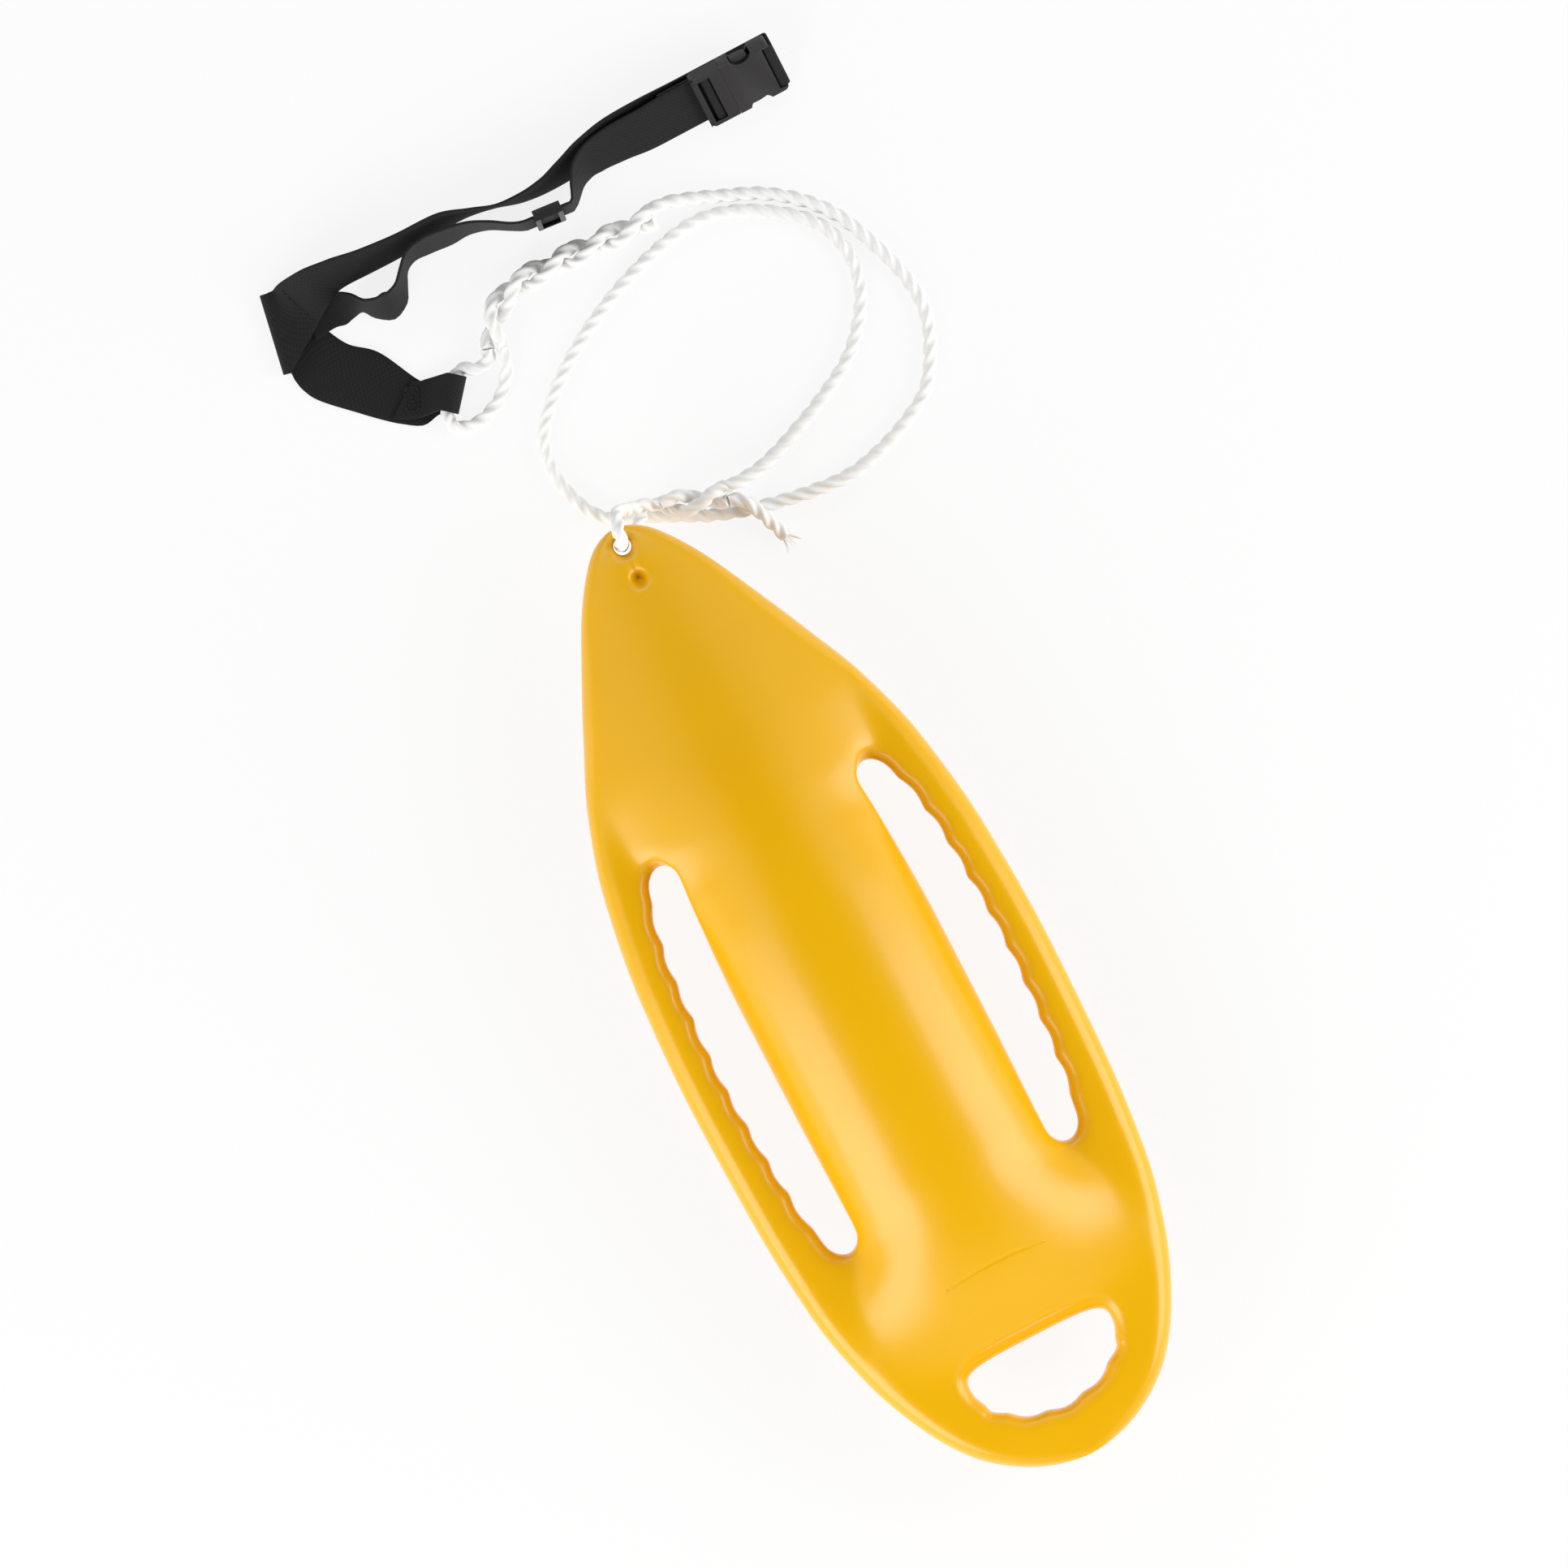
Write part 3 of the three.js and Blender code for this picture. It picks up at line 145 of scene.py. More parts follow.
# smooth value between the [place, value] rows of a table, with no overshoot
def follow(table, at):
    last = len(table) - 1
    if at <= table[0][0]:
        return table[0][1]
    if at >= table[last][0]:
        return table[last][1]
    k = 0
    while at > table[k + 1][0]:
        k += 1

    def slope(i):
        return (table[i + 1][1] - table[i][1]) / (table[i + 1][0] - table[i][0])

    def tangent(i):
        if i in (0, last):
            return slope(min(i, last - 1))
        before, after = slope(i - 1), slope(i)
        return 0 if before * after <= 0 else 2 * before * after / (before + after)

    span = table[k + 1][0] - table[k][0]
    t = (at - table[k][0]) / span
    rise = t * t * (3 - 2 * t)
    leave = t * (1 - t) ** 2 * span * tangent(k)
    arrive = t * t * (1 - t) * span * tangent(k + 1)
    return table[k][1] * (1 - rise) + table[k + 1][1] * rise + leave - arrive


# a cubic through the points, as a function of stretch and share; without a tension it is centripetal
def curveThrough(points, tension=None):
    padded = [2 * points[0] - points[1]] + points + [2 * points[-1] - points[-2]]

    def at(i, t):
        p0, p1, p2, p3 = padded[i:i + 4]
        if tension:
            m1, m2 = (p2 - p0) * tension, (p3 - p1) * tension
        else:
            d1, d2, d3 = [max((b - a).length, 1e-9) ** 0.5 for a, b in ((p0, p1), (p1, p2), (p2, p3))]
            m1 = ((p1 - p0) / d1 - (p2 - p0) / (d1 + d2) + (p2 - p1) / d2) * d2
            m2 = ((p2 - p1) / d2 - (p3 - p1) / (d2 + d3) + (p3 - p2) / d3) * d2
        return ((2 * p1 - 2 * p2 + m1 + m2) * t ** 3 + (-3 * p1 + 3 * p2 - 2 * m1 - m2) * t ** 2
                + m1 * t + p1)
    return at


# the same line with its points spaced evenly
def evenly(points, step):
    lengths = [0]
    for a, b in zip(points, points[1:]):
        lengths.append(lengths[-1] + (b - a).length)
    count = max(2, round(lengths[-1] / step))
    out, k = [], 0
    for i in range(count + 1):
        at = lengths[-1] * i / count
        while k < len(points) - 2 and lengths[k + 1] < at:
            k += 1
        t = (at - lengths[k]) / max(lengths[k + 1] - lengths[k], 1e-9)
        out.append(points[k].lerp(points[k + 1], min(1, max(0, t))))
    return out


# in metres, to the millimetre
def lineLength(points):
    return round(sum((b - a).length for a, b in zip(points, points[1:])), 3)


def setMaterial(obj, material):
    obj.data.materials.clear()
    obj.data.materials.append(material)


# a finished piece takes the place of its CAD node
def standFor(obj, node, body):
    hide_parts(node)
    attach(obj, body)


# materials

def newMaterial(name):
    material = bpy.data.materials.new(name)
    material.use_nodes = True
    return material, material.node_tree, material.node_tree.nodes["Principled BSDF"]


# an input is given a value, or the socket that feeds it
def setInputs(tree, node, inputs):
    for name, source in inputs.items():
        if isinstance(source, bpy.types.NodeSocket):
            tree.links.new(source, node.inputs[name])
        else:
            node.inputs[name].default_value = source


def addNode(tree, kind, inputs, **settings):
    node = tree.nodes.new(kind)
    for name, value in settings.items():
        setattr(node, name, value)
    setInputs(tree, node, inputs)
    return node


# rotationally moulded polyethylene: satin, with a faint orange peel and a line where the mould parts
def mouldedPolyethylene():
    look = {
        "colour": "f3b806", "shade": "ecb004", "cloudMm": 111.1, "roughness": 0.27, "ior": 1.5,
        "peelMm": 2.4, "peelStrength": 0.05, "peelDepth": 0.2 * mm,
        "seamHeight": 67.6 * mm, "seamHalf": 0.6 * mm, "seamStrength": 0.4, "seamDepth": 0.3 * mm,
    }
    material, tree, shader = newMaterial("moulded polyethylene")
    place = addNode(tree, "ShaderNodeTexCoord", {}).outputs["Object"]
    # the yellow drifts a little in clouds about 111 mm across
    cloud = addNode(tree, "ShaderNodeTexNoise", {"Vector": place, "Scale": 1 / (look["cloudMm"] * mm)})
    colour = addNode(tree, "ShaderNodeMix", {
        "Factor": cloud.outputs["Fac"], "A": linearColour(look["colour"]), "B": linearColour(look["shade"]),
    }, data_type="RGBA")
    # the grain of the mould is about 2.4 mm from bump to bump
    peel = addNode(tree, "ShaderNodeTexNoise", {"Vector": place, "Scale": 1 / (look["peelMm"] * mm)})
    bump = addNode(tree, "ShaderNodeBump", {
        "Height": peel.outputs["Fac"], "Strength": look["peelStrength"], "Distance": look["peelDepth"]})
    # the two halves of the mould meet at mid height and leave a line 1.2 mm wide round the rim
    split = addNode(tree, "ShaderNodeSeparateXYZ", {"Vector": place})
    above = addNode(tree, "ShaderNodeMath", {0: split.outputs["Z"], 1: look["seamHeight"]},
                    operation="SUBTRACT")
    away = addNode(tree, "ShaderNodeMath", {0: above.outputs[0]}, operation="ABSOLUTE")
    seam = addNode(tree, "ShaderNodeMapRange", {
        "Value": away.outputs[0], "From Min": 0, "From Max": look["seamHalf"], "To Min": 1, "To Max": 0})
    raised = addNode(tree, "ShaderNodeBump", {
        "Height": seam.outputs["Result"], "Normal": bump.outputs["Normal"],
        "Strength": look["seamStrength"], "Distance": look["seamDepth"]})
    setInputs(tree, shader, {
        "Base Color": colour.outputs["Result"], "Roughness": look["roughness"], "IOR": look["ior"],
        "Normal": raised.outputs["Normal"]})
    return material


# woven nylon webbing, black: matt, with bumped ribs and yarns; its colour has a painted highlight on their
# raised tops and painted shade between them
def wovenNylon():
    # the lighter colour is the painted highlight on the ribs and yarns, the darker one the painted shade
    # between them
    look = {
        "paintedRibHighlight": "1a1819", "paintedDipShade": "0b0a0b", "ribMm": 1.6, "yarnMm": 2.2, "strength": 0.5,
        "depth": 0.3 * mm, "roughness": 0.8, "sheen": 0.03, "sheenRoughness": 0.5, "specular": 0.35,
    }
    material, tree, shader = newMaterial("woven nylon webbing")
    uv = addNode(tree, "ShaderNodeUVMap", {}, uv_map="cloth")
    split = addNode(tree, "ShaderNodeSeparateXYZ", {"Vector": uv.outputs["UV"]})
    # the map is in metres along and across the strap; half a wave is one rib or one yarn
    waves = []
    for axis, pitch in (("X", look["ribMm"]), ("Y", look["yarnMm"])):
        turn = addNode(tree, "ShaderNodeMath", {0: split.outputs[axis], 1: math.pi / (pitch * mm)},
                       operation="MULTIPLY")
        waves.append(addNode(tree, "ShaderNodeMath", {0: turn.outputs[0]}, operation="SINE").outputs[0])
    weave = addNode(tree, "ShaderNodeMath", {0: waves[0], 1: waves[1]}, operation="MULTIPLY")
    raised = addNode(tree, "ShaderNodeMath", {0: weave.outputs[0], 1: 0.5, 2: 0.5},
                     operation="MULTIPLY_ADD")
    # painted light: where the weave is raised the black is lightened to a painted highlight, and where it
    # is low it is darkened to painted shade
    colour = addNode(tree, "ShaderNodeMix", {
        "Factor": raised.outputs[0], "A": linearColour(look["paintedDipShade"]), "B": linearColour(look["paintedRibHighlight"]),
    }, data_type="RGBA")
    bump = addNode(tree, "ShaderNodeBump", {
        "Height": raised.outputs[0], "Strength": look["strength"], "Distance": look["depth"]})
    setInputs(tree, shader, {
        "Base Color": colour.outputs["Result"], "Normal": bump.outputs["Normal"],
        "Roughness": look["roughness"], "Sheen Weight": look["sheen"],
        "Sheen Roughness": look["sheenRoughness"], "Specular IOR Level": look["specular"]})
    return material


# one colour with a fine grain, its bumps grainMm millimetres apart
def grainedFinish(name, colour, roughness, grainMm, strength, depth=0.2 * mm, detail=2):
    material, tree, shader = newMaterial(name)
    coords = addNode(tree, "ShaderNodeTexCoord", {})
    grain = addNode(tree, "ShaderNodeTexNoise", {
        "Vector": coords.outputs["Object"], "Scale": 1 / (grainMm * mm), "Detail": detail})
    bump = addNode(tree, "ShaderNodeBump", {
        "Height": grain.outputs["Fac"], "Strength": strength, "Distance": depth})
    setInputs(tree, shader, {
        "Base Color": linearColour(colour), "Roughness": roughness, "Normal": bump.outputs["Normal"]})
    return material


yellowPlastic = mouldedPolyethylene()
blackWebbing = wovenNylon()
# laid polypropylene rope, white: chalky, with fibres about 0.36 mm apart that hardly break its shading
whiteRope = grainedFinish("laid polypropylene rope", "f7f7f5", roughness=0.75, grainMm=0.357,
                          strength=0.03, depth=0.3 * mm, detail=1)
# injection-moulded acetal, black: a soft sheen broken by the mould's spark-eroded grain of 0.4 mm
blackAcetal = grainedFinish("moulded acetal", "232122", roughness=0.42, grainMm=0.4, strength=0.15,
                            detail=1)
# bonded polyester thread, black: matt, so that the stitches stand out by shape alone; 0.5 mm twist
blackThread = grainedFinish("sewing thread", "201e1f", roughness=0.85, grainMm=0.5, strength=0.1)
# the vent's plug is duller than the float, and its washer is dull rubber, both with a 0.5 mm grain
ventPlastic = grainedFinish("vent plug polyethylene", "d9a416", roughness=0.5, grainMm=0.5, strength=0.1)
washerRubber = grainedFinish("moulded rubber", "2a2a2c", roughness=0.85, grainMm=0.5, strength=0.1)
print("materials made")

# camera, straight above with the picture's roll, far off so that heights shift little

camera = {
    "distance": 12.0, "plane": 0.0676, "widthSeen": 1.0715, "centre": (0.0233, 0.147),
    "up": (0.4602, 0.8878, 0), "sensor": 36, "farthest": 40,
}


def addCamera():
    data = bpy.data.cameras.new("camera")
    data.sensor_width = camera["sensor"]
    data.lens = camera["sensor"] * camera["distance"] / camera["widthSeen"]
    data.clip_end = camera["farthest"]
    obj = addObject("camera", data)
    up, back = Vector(camera["up"]).normalized(), Vector((0, 0, 1))
    turn = Matrix((up.cross(back), up, back)).transposed()
    place = Vector((*camera["centre"], camera["plane"] + camera["distance"]))
    obj.matrix_world = Matrix.Translation(place) @ turn.to_4x4()
    scene.camera = obj


addCamera()
print("camera set")

# rope: each route's points are in millimetres from the nose tip, chosen along the rope

rope = {
    "radius": 5 * mm, "pitch": 36 * mm, "step": 1.2 * mm, "fine": 1 * mm, "least": 0.66,
    "around": 24, "pairReach": 5.15 * mm, "noseTurns": 0.75, "beltTurns": 2.5, "smooth": 70,
}
fray = {
    "fibres": 16, "length": 9 * mm, "radius": 0.45 * mm, "inside": 3 * mm, "spread": 0.42,
    "low": 1 * mm, "bundle": 0.55, "steps": 4, "taper": 0.5,
}

towRoute = [
    (81.5, -8.5, 17.5), (87, -9.8, 17.2), (106, -8.6, 12), (122, -4.4, 8), (144, 4, 5.6),
    (170, 15.6, 5.2), (197, 31.3, 5.2), (214, 48.6, 5.2), (226.5, 69, 5.2), (230.5, 91, 5.2),
    (227, 111, 5.2), (217.5, 127, 5.2), (199.5, 142.5, 5.2), (175.5, 156, 5.2), (153, 162, 5.2),
    (129, 160.5, 5.2), (77, 144.5, 5.2), (24, 115.5, 5.2), (-12, 82, 5.2), (-18.5, 62, 5.2),
    (-17, 40, 5.2), (-8, 17.5, 5.2), (5.6, 5, 5.2), (32, -5.5, 5.2), (68, -23, 5.2),
    (108, -34.5, 5.2), (160, -40.5, 5.2), (190, -34.5, 5.2), (214, -25, 5.2), (236, -11, 5.2),
    (258, 31, 5.2), (258.5, 58, 5.2), (243.5, 106, 5.2), (232.5, 126.5, 5.2), (215, 145.5, 5.2),
    (194.5, 159.8, 5.2), (172, 169.5, 5.2), (150, 178.5, 7.4), (133, 183.4, 10.2),
    (123.1, 183.6, 10.4),
]
beltSpliceRoute = [
    (122.6, 178.5, 10.4), (95.4, 178.9, 10.4), (68.6, 180.3, 10.4), (41.3, 180.7, 10.4),
    (13, 179.1, 10.4), (-2, 170.5, 10.4), (-11, 160, 10.4), (-15, 148.5, 10.4),
]
beltEyeRoute = [
    (-20, 149.8, 10.4), (-21.6, 145.3, 10.3), (-27, 141.4, 9.4), (-34.5, 142.6, 8.4),
    (-42, 146.2, 7.8), (-48.2, 144.5, 7.5), (-56, 135, 7.5), (-63.8, 125.5, 7.5),
    (-66, 117.5, 6.6), (-61, 110.8, 5.4), (-50, 108.5, 5.2), (-38, 111.2, 5.2), (-26, 118, 5.4),
    (-16.5, 129, 7.5), (-12.6, 138, 9.9), (-11.7, 142.2, 10.4), (-10.2, 146.5, 10.4),
]
noseSpliceRoute = [(80, -13.5, 17.5), (58, -8.5, 18.5), (36, 1, 19.5)]
noseEyeRoute = [
    (35.9, 1, 24.7), (31.5, 3, 25), (26, 5.4, 28.5), (19, 6.5, 36), (12.5, 8, 47.6), (8.5, 8.4, 61.6),
    (6, 7, 75.6), (4, 1.2, 85.1), (2, -5.5, 88.1), (0.8, -10.8, 85.8), (0, -12.3, 79.6),
    (0, -12.1, 67.6), (0, -12.3, 55.6), (1.5, -11, 48.6), (7, -9, 40.6), (15, -6.5, 31.6),
    (19.5, -2, 23.5), (25, 3.6, 16.6), (31, 3.2, 14.5), (35.5, 1.2, 14.4),
]
ropeTailRoute = [
    (79.2, -18.6, 17.5), (83.7, -19.7, 17.4), (90.5, -26, 18.6), (95.5, -38, 14.5),
    (100, -50, 7.4), (103, -58, 6),
]


def ropeLine(route):
    points = [Vector((x * mm, noseY + y * mm, z * mm)) for x, y, z in route]
    at = curveThrough(points)
    line = []
    for i, (a, b) in enumerate(zip(points, points[1:])):
        count = max(1, round((b - a).length / rope["fine"]))
        line += [at(i, k / count) for k in range(count)]
    return evenly(line + [points[-1]], rope["step"])


def polyCurve(name, points, **settings):
    data = bpy.data.curves.new(name, "CURVE")
    for key, value in settings.items():
        setattr(data, key, value)
    spline = data.splines.new("POLY")
    spline.points.add(len(points) - 1)
    for target, point in zip(spline.points, points):
        target.co = (*point, 1)
    return addObject(name, data)


# section of a three-strand rope: three round strands that touch
def strandProfile():
    small = rope["radius"] / (1 + 2 / math.sqrt(3))
    away = rope["radius"] - small
    points = []
    for i in range(rope["around"]):
        turn = 2 * math.pi * i / rope["around"]
        off = (turn + math.pi / 3) % (2 * math.pi / 3) - math.pi / 3
        reach = away * math.cos(off) + math.sqrt(max(0, small ** 2 - (away * math.sin(off)) ** 2))
        reach = max(reach, rope["least"] * rope["radius"])
        points.append((reach * math.cos(turn), reach * math.sin(turn), 0))
    obj = polyCurve("strandProfile", points)
    obj.data.splines[0].use_cyclic_u = True
    return obj


def ropeMesh(curve):
    makeActive(curve)
    bpy.ops.object.convert(target="MESH")
    made = bpy.context.object
    normalsOut(made)
    smoothShade(made, rope["smooth"])
    setMaterial(made, whiteRope)
    return made


# a rope along a line, its strands turning once for every pitch
def laidRope(name, line, profile):
    curve = polyCurve(name, line, dimensions="3D", twist_mode="MINIMUM", bevel_mode="OBJECT",
                      bevel_object=profile, use_fill_caps=True)
    along = 0
    for i, point in enumerate(curve.data.splines[0].points):
        if i:
            along += (line[i] - line[i - 1]).length
        point.tilt = 2 * math.pi * along / rope["pitch"]
    return ropeMesh(curve)


# two ropes that turn about each other along a route
def ropePair(name, route, turns, profile):
    path = ropeLine(route)
    lines = [[], []]
    for i, centre in enumerate(path):
        along = (path[min(i + 1, len(path) - 1)] - path[max(i - 1, 0)]).normalized()
        across = along.cross(Vector((0, 0, 1))).normalized()
        rise = across.cross(along).normalized()
        lay = turns * 2 * math.pi * i / (len(path) - 1)
        away = (across * math.cos(lay) + rise * math.sin(lay)) * rope["pairReach"]
        lines[0].append(centre + away)
        lines[1].append(centre - away)
    return joinAll([laidRope(name, line, profile) for line in lines], name)


# loose fibres that open like a brush from the cut end of a rope
def frayedEnd(line):
    out = []
    along = (line[-1] - line[-3]).normalized()
    across = along.cross(Vector((0, 0, 1))).normalized()
    rise = across.cross(along)
    shares = [k / fray["steps"] for k in range(fray["steps"] + 1)]
    for i in range(fray["fibres"]):
        turn, away = random.uniform(0, 2 * math.pi), math.sqrt(random.uniform(0.05, 1))
        side = across * math.cos(turn) * away + rise * math.sin(turn) * away
        start = line[-1] - along * fray["inside"] + side * (rope["radius"] * fray["bundle"])
        reach = fray["inside"] + fray["length"] * random.uniform(0.5, 1)
        points = [start + along * (reach * share) + side * (reach * fray["spread"] * share * share)
                  for share in shares]
        for point in points:
            point.z = max(fray["low"], point.z)
        curve = polyCurve("fibre", points, dimensions="3D", bevel_depth=fray["radius"],
                          bevel_resolution=1, use_fill_caps=True)
        for share, point in zip(shares, curve.data.splines[0].points):
            point.radius = 1 - fray["taper"] * share
        out.append(ropeMesh(curve))
    return out


profile = strandProfile()
towLine, noseEyeLine, beltEyeLine, tailLine = [
    ropeLine(route) for route in (towRoute, noseEyeRoute, beltEyeRoute, ropeTailRoute)]
towRope = laidRope("towRope", towLine, profile)
noseEye = laidRope("noseEye", noseEyeLine, profile)
beltEye = laidRope("beltEye", beltEyeLine, profile)
ropeTail = joinAll([laidRope("ropeTail", tailLine, profile), *frayedEnd(tailLine)], "ropeTail")
noseSplice = ropePair("noseSplice", noseSpliceRoute, rope["noseTurns"], profile)
beltSplice = ropePair("beltSplice", beltSpliceRoute, rope["beltTurns"], profile)
bpy.data.objects.remove(profile)
for piece, node in (
        (towRope, "tow_rope"), (noseEye, "nose_rope_eye"), (beltEye, "belt_rope_eye"),
        (ropeTail, "rope_tail"), (noseSplice, "nose_splice"), (beltSplice, "belt_splice")):
    standFor(piece, node, "float")
print("rope laid, tow rope", lineLength(towLine), "m")

# float: s is the distance from the nose tip along it, and v the distance from its middle line

can = {
    "length": 711 * mm, "width": 272 * mm, "podHalf": 70 * mm, "midHeight": 67.6 * mm,
    "rail": 16 * mm, "edge": 14 * mm, "edgeShare": 0.6, "crown": 3, "around": 144, "along": 200,
    "rimShare": 0.3, "flatShare": 0.42, "podLeast": 0.5, "podMost": 0.85,
    "voxel": 2.2 * mm, "smoothing": 6,
}
# how the wall of a cut leans out between its waist and the skin, in shares of the rail's thickness
wall = {"steps": 6, "waist": 0.44, "rise": 0.58, "overrun": 1.3}
slot = {
    "start": 219 * mm, "end": 514 * mm, "cap": 13 * mm, "capSteps": 6, "innerSteps": 30,
    "railWidth": 28.4 * mm, "podCut": 1 * mm, "scallopStart": 241 * mm, "pitch": 27.2 * mm,
    "depth": 2.6 * mm, "scallops": 9, "scallopSteps": 10, "flare": 9 * mm, "flareEven": 0.5,
    "flareSide": 0.75,
}
grip = {
    "station": 635.6 * mm, "half": 54.3 * mm, "forward": 13.9 * mm, "forwardPower": 0.5,
    "forwardSteps": 40, "aft": 36.8 * mm, "aftPower": 1.08, "aftSteps": 80, "pitch": 27 * mm,
    "scallops": 2, "depth": 2.5 * mm, "flare": 8 * mm, "thicker": 1.07,
}
nose = {
    "holeAt": 13.3 * mm, "hole": 6.7 * mm, "flare": 3 * mm, "waist": 8 * mm, "flareSteps": 5,
    "dimpleAt": 37.7 * mm, "dimple": 7 * mm, "dimpleFloor": 2.8 * mm, "dimpleDepth": 9 * mm,
    "dimpleMouth": 1.25, "overrun": 3 * mm,
    "grooveEnd": 5.4 * mm, "grooveWaist": 3.6 * mm, "grooveDepth": 2.2 * mm, "grooveSteps": 8,
    "grooveSides": 24,
}
vent = {
    "y": -60 * mm, "recess": 10 * mm, "seat": 4.5 * mm, "bore": 5.2 * mm, "top": 13.5 * mm,
    "below": -10 * mm,
}
# faint line that the mould's insert leaves across the top in front of the grip
insertLine = {
    "station": 564 * mm, "half": 38 * mm, "arch": 3 * mm, "radius": 3 * mm, "sink": 0.35 * mm,
    "steps": 24, "around": 12,
}
# where the shell is smoothed, in front of the slots and behind them: the pod runs out there
foot = {
    "nose": (40 * mm, 216 * mm), "tail": (518 * mm, 596 * mm), "fade": 12 * mm, "inner": 20 * mm,
    "passes": 70,
}
roundSides = 40

# each table below gives shares of the float's own sizes against the share of its length
halfWidthShares = [
    (0, 0), (0.012, 0.155), (0.031, 0.243), (0.062, 0.35), (0.109, 0.477), (0.172, 0.636),
    (0.234, 0.78), (0.312, 0.899), (0.421, 0.977), (0.53, 1), (0.655, 0.986), (0.764, 0.939),
    (0.842, 0.845), (0.905, 0.708), (0.952, 0.542), (0.983, 0.332), (1, 0),
]
halfWidthSquares = [(at, value * value) for at, value in halfWidthShares]
podHeightShares = [
    (0, 0), (0.02, 0.15), (0.06, 0.27), (0.12, 0.45), (0.2, 0.66), (0.3, 0.865), (0.4, 0.97), (0.5, 1),
    (0.6, 0.985), (0.68, 0.92), (0.75, 0.8), (0.8, 0.65), (0.84, 0.44), (0.874, 0.25), (0.9, 0.19),
    (1, 0.1),
]
podWidthShares = [
    (0, 0), (0.03, 0.16), (0.06, 0.28), (0.12, 0.47), (0.18, 0.63), (0.24, 0.72), (0.29, 0.71),
    (0.35, 0.6), (0.42, 0.552), (0.47, 0.554), (0.58, 0.554), (0.7, 0.55), (0.78, 0.74), (0.84, 0.8),
    (0.9, 0.68), (1, 0.1),
]
podPowerShares = [
    (0, 1), (0.1, 1.15), (0.24, 1.2), (0.3, 1.05), (0.36, 0.68), (0.42, 0.5), (0.68, 0.5),
    (0.76, 0.95), (0.84, 1.3), (1, 1),
]
footBlendShares = [
    (0, 1.1), (0.22, 1.1), (0.3, 1.6), (0.4, 3), (0.66, 3), (0.75, 1.5), (0.84, 1.1), (1, 1.1),
]
slotInnerShares = [
    (0.3, 0.505), (0.38, 0.537), (0.47, 0.554), (0.58, 0.554), (0.7, 0.547), (0.74, 0.555),
]
flangeShares = [
    (0, 0.45), (0.02, 0.7), (0.06, 0.85), (0.15, 1), (0.85, 1.05), (0.95, 1.08), (1, 0.9),
]
railWidthShares = [(0.3, 1.16), (0.4, 1.03), (0.5, 1.03), (0.58, 1.07), (0.68, 1.19), (0.73, 1.28)]


def halfWidthAt(s):
    return can["width"] / 2 * math.sqrt(follow(halfWidthSquares, s / can["length"]))


def podHalfWidthAt(s):
    return can["width"] / 2 * follow(podWidthShares, s / can["length"])


# height of the skin over mid height: a flange with a pod on it, blended, and a round edge
def skinHeight(s, v):
    share = s / can["length"]
    pod = can["podHalf"] * follow(podHeightShares, share)
    flange = can["rail"] * follow(flangeShares, share)
    crown = (pod ** can["crown"] + flange ** can["crown"]) ** (1 / can["crown"])
    inside = max(0, 1 - (v / max(podHalfWidthAt(s), 1e-9)) ** 2) ** follow(podPowerShares, share)
    blend = follow(footBlendShares, share)
    rise = (crown ** blend - flange ** blend) * inside ** blend
    edge = max(1e-9, min(can["edge"], halfWidthAt(s) * can["edgeShare"]))
    beyond = min(1, max(0, v - (halfWidthAt(s) - edge)) / edge)
    return (flange ** blend + rise) ** (1 / blend) * math.sqrt(1 - beyond * beyond)


# distance from the middle line for a share of the quarter section, 0 at the edge and 1 at the top
def sectionPlace(s, share):
    rimEnd, flatEnd = can["rimShare"], can["flatShare"]
    edge = min(can["edge"], halfWidthAt(s) * can["edgeShare"])
    flatTo = halfWidthAt(s) - edge
    reach = min(max(podHalfWidthAt(s), can["podLeast"] * flatTo), can["podMost"] * flatTo)
    if share < rimEnd:
        return flatTo + edge * math.sin(quarterTurn * (1 - share / rimEnd))
    if share < flatEnd:
        return flatTo + (reach - flatTo) * (share - rimEnd) / (flatEnd - rimEnd)
    return reach * math.sin(quarterTurn * (1 - (share - flatEnd) / (1 - flatEnd)))


# a ball whose meridians are carried to the float's sections
def canBody():
    bpy.ops.mesh.primitive_uv_sphere_add(segments=can["around"], ring_count=can["along"], radius=1)
    body = bpy.context.object
    body.name = "canShell"
    for vertex in body.data.vertices:
        s = can["length"] * (1 - vertex.co.z) / 2
        turn = math.atan2(vertex.co.y, vertex.co.x)
        share = abs(turn) / quarterTurn
        side = 1 if share <= 1 else -1
        share = min(share, 2 - share)
        v = sectionPlace(s, share) if 0 < s < can["length"] else 0
        z = skinHeight(s, v) if 0 < s < can["length"] else 0
        z = z if turn >= 0 else -z
        vertex.co = (side * v, can["length"] / 2 - s, max(0, can["midHeight"] + z))
    normalsOut(body)
    return body


# walls along an outline of (x, y, scallop, weight function), leaning out towards the skin
def flaredCutter(name, outline, flare, halfThickness):
    area = sum(a[0] * b[1] - b[0] * a[1] for a, b in zip(outline, outline[1:] + outline[:1]))
    side = 1 if area > 0 else -1
    normals = []
    for i in range(len(outline)):
        before, after = outline[i - 1], outline[(i + 1) % len(outline)]
        normals.append(Vector((after[1] - before[1], before[0] - after[0])).normalized() * side)
    upper = []
    for i in range(wall["steps"] + 1):
        turn = quarterTurn * i / wall["steps"]
        level = halfThickness * (wall["waist"] + wall["rise"] * math.sin(turn))
        upper.append((flare * (1 - math.cos(turn)), level))
    upper.append((flare, can["podHalf"] * wall["overrun"]))
    lower = [(offset, -level) for offset, level in reversed(upper)]
    rings = []
    for offset, level in lower + upper:
        ring = []
        for (x, y, scallop, weight), normal in zip(outline, normals):
            out = scallop + offset * weight(normal)
            ring.append((x + normal.x * out, y + normal.y * out, can["midHeight"] + level))
        rings.append(ring)
    return skinRings(name, rings)


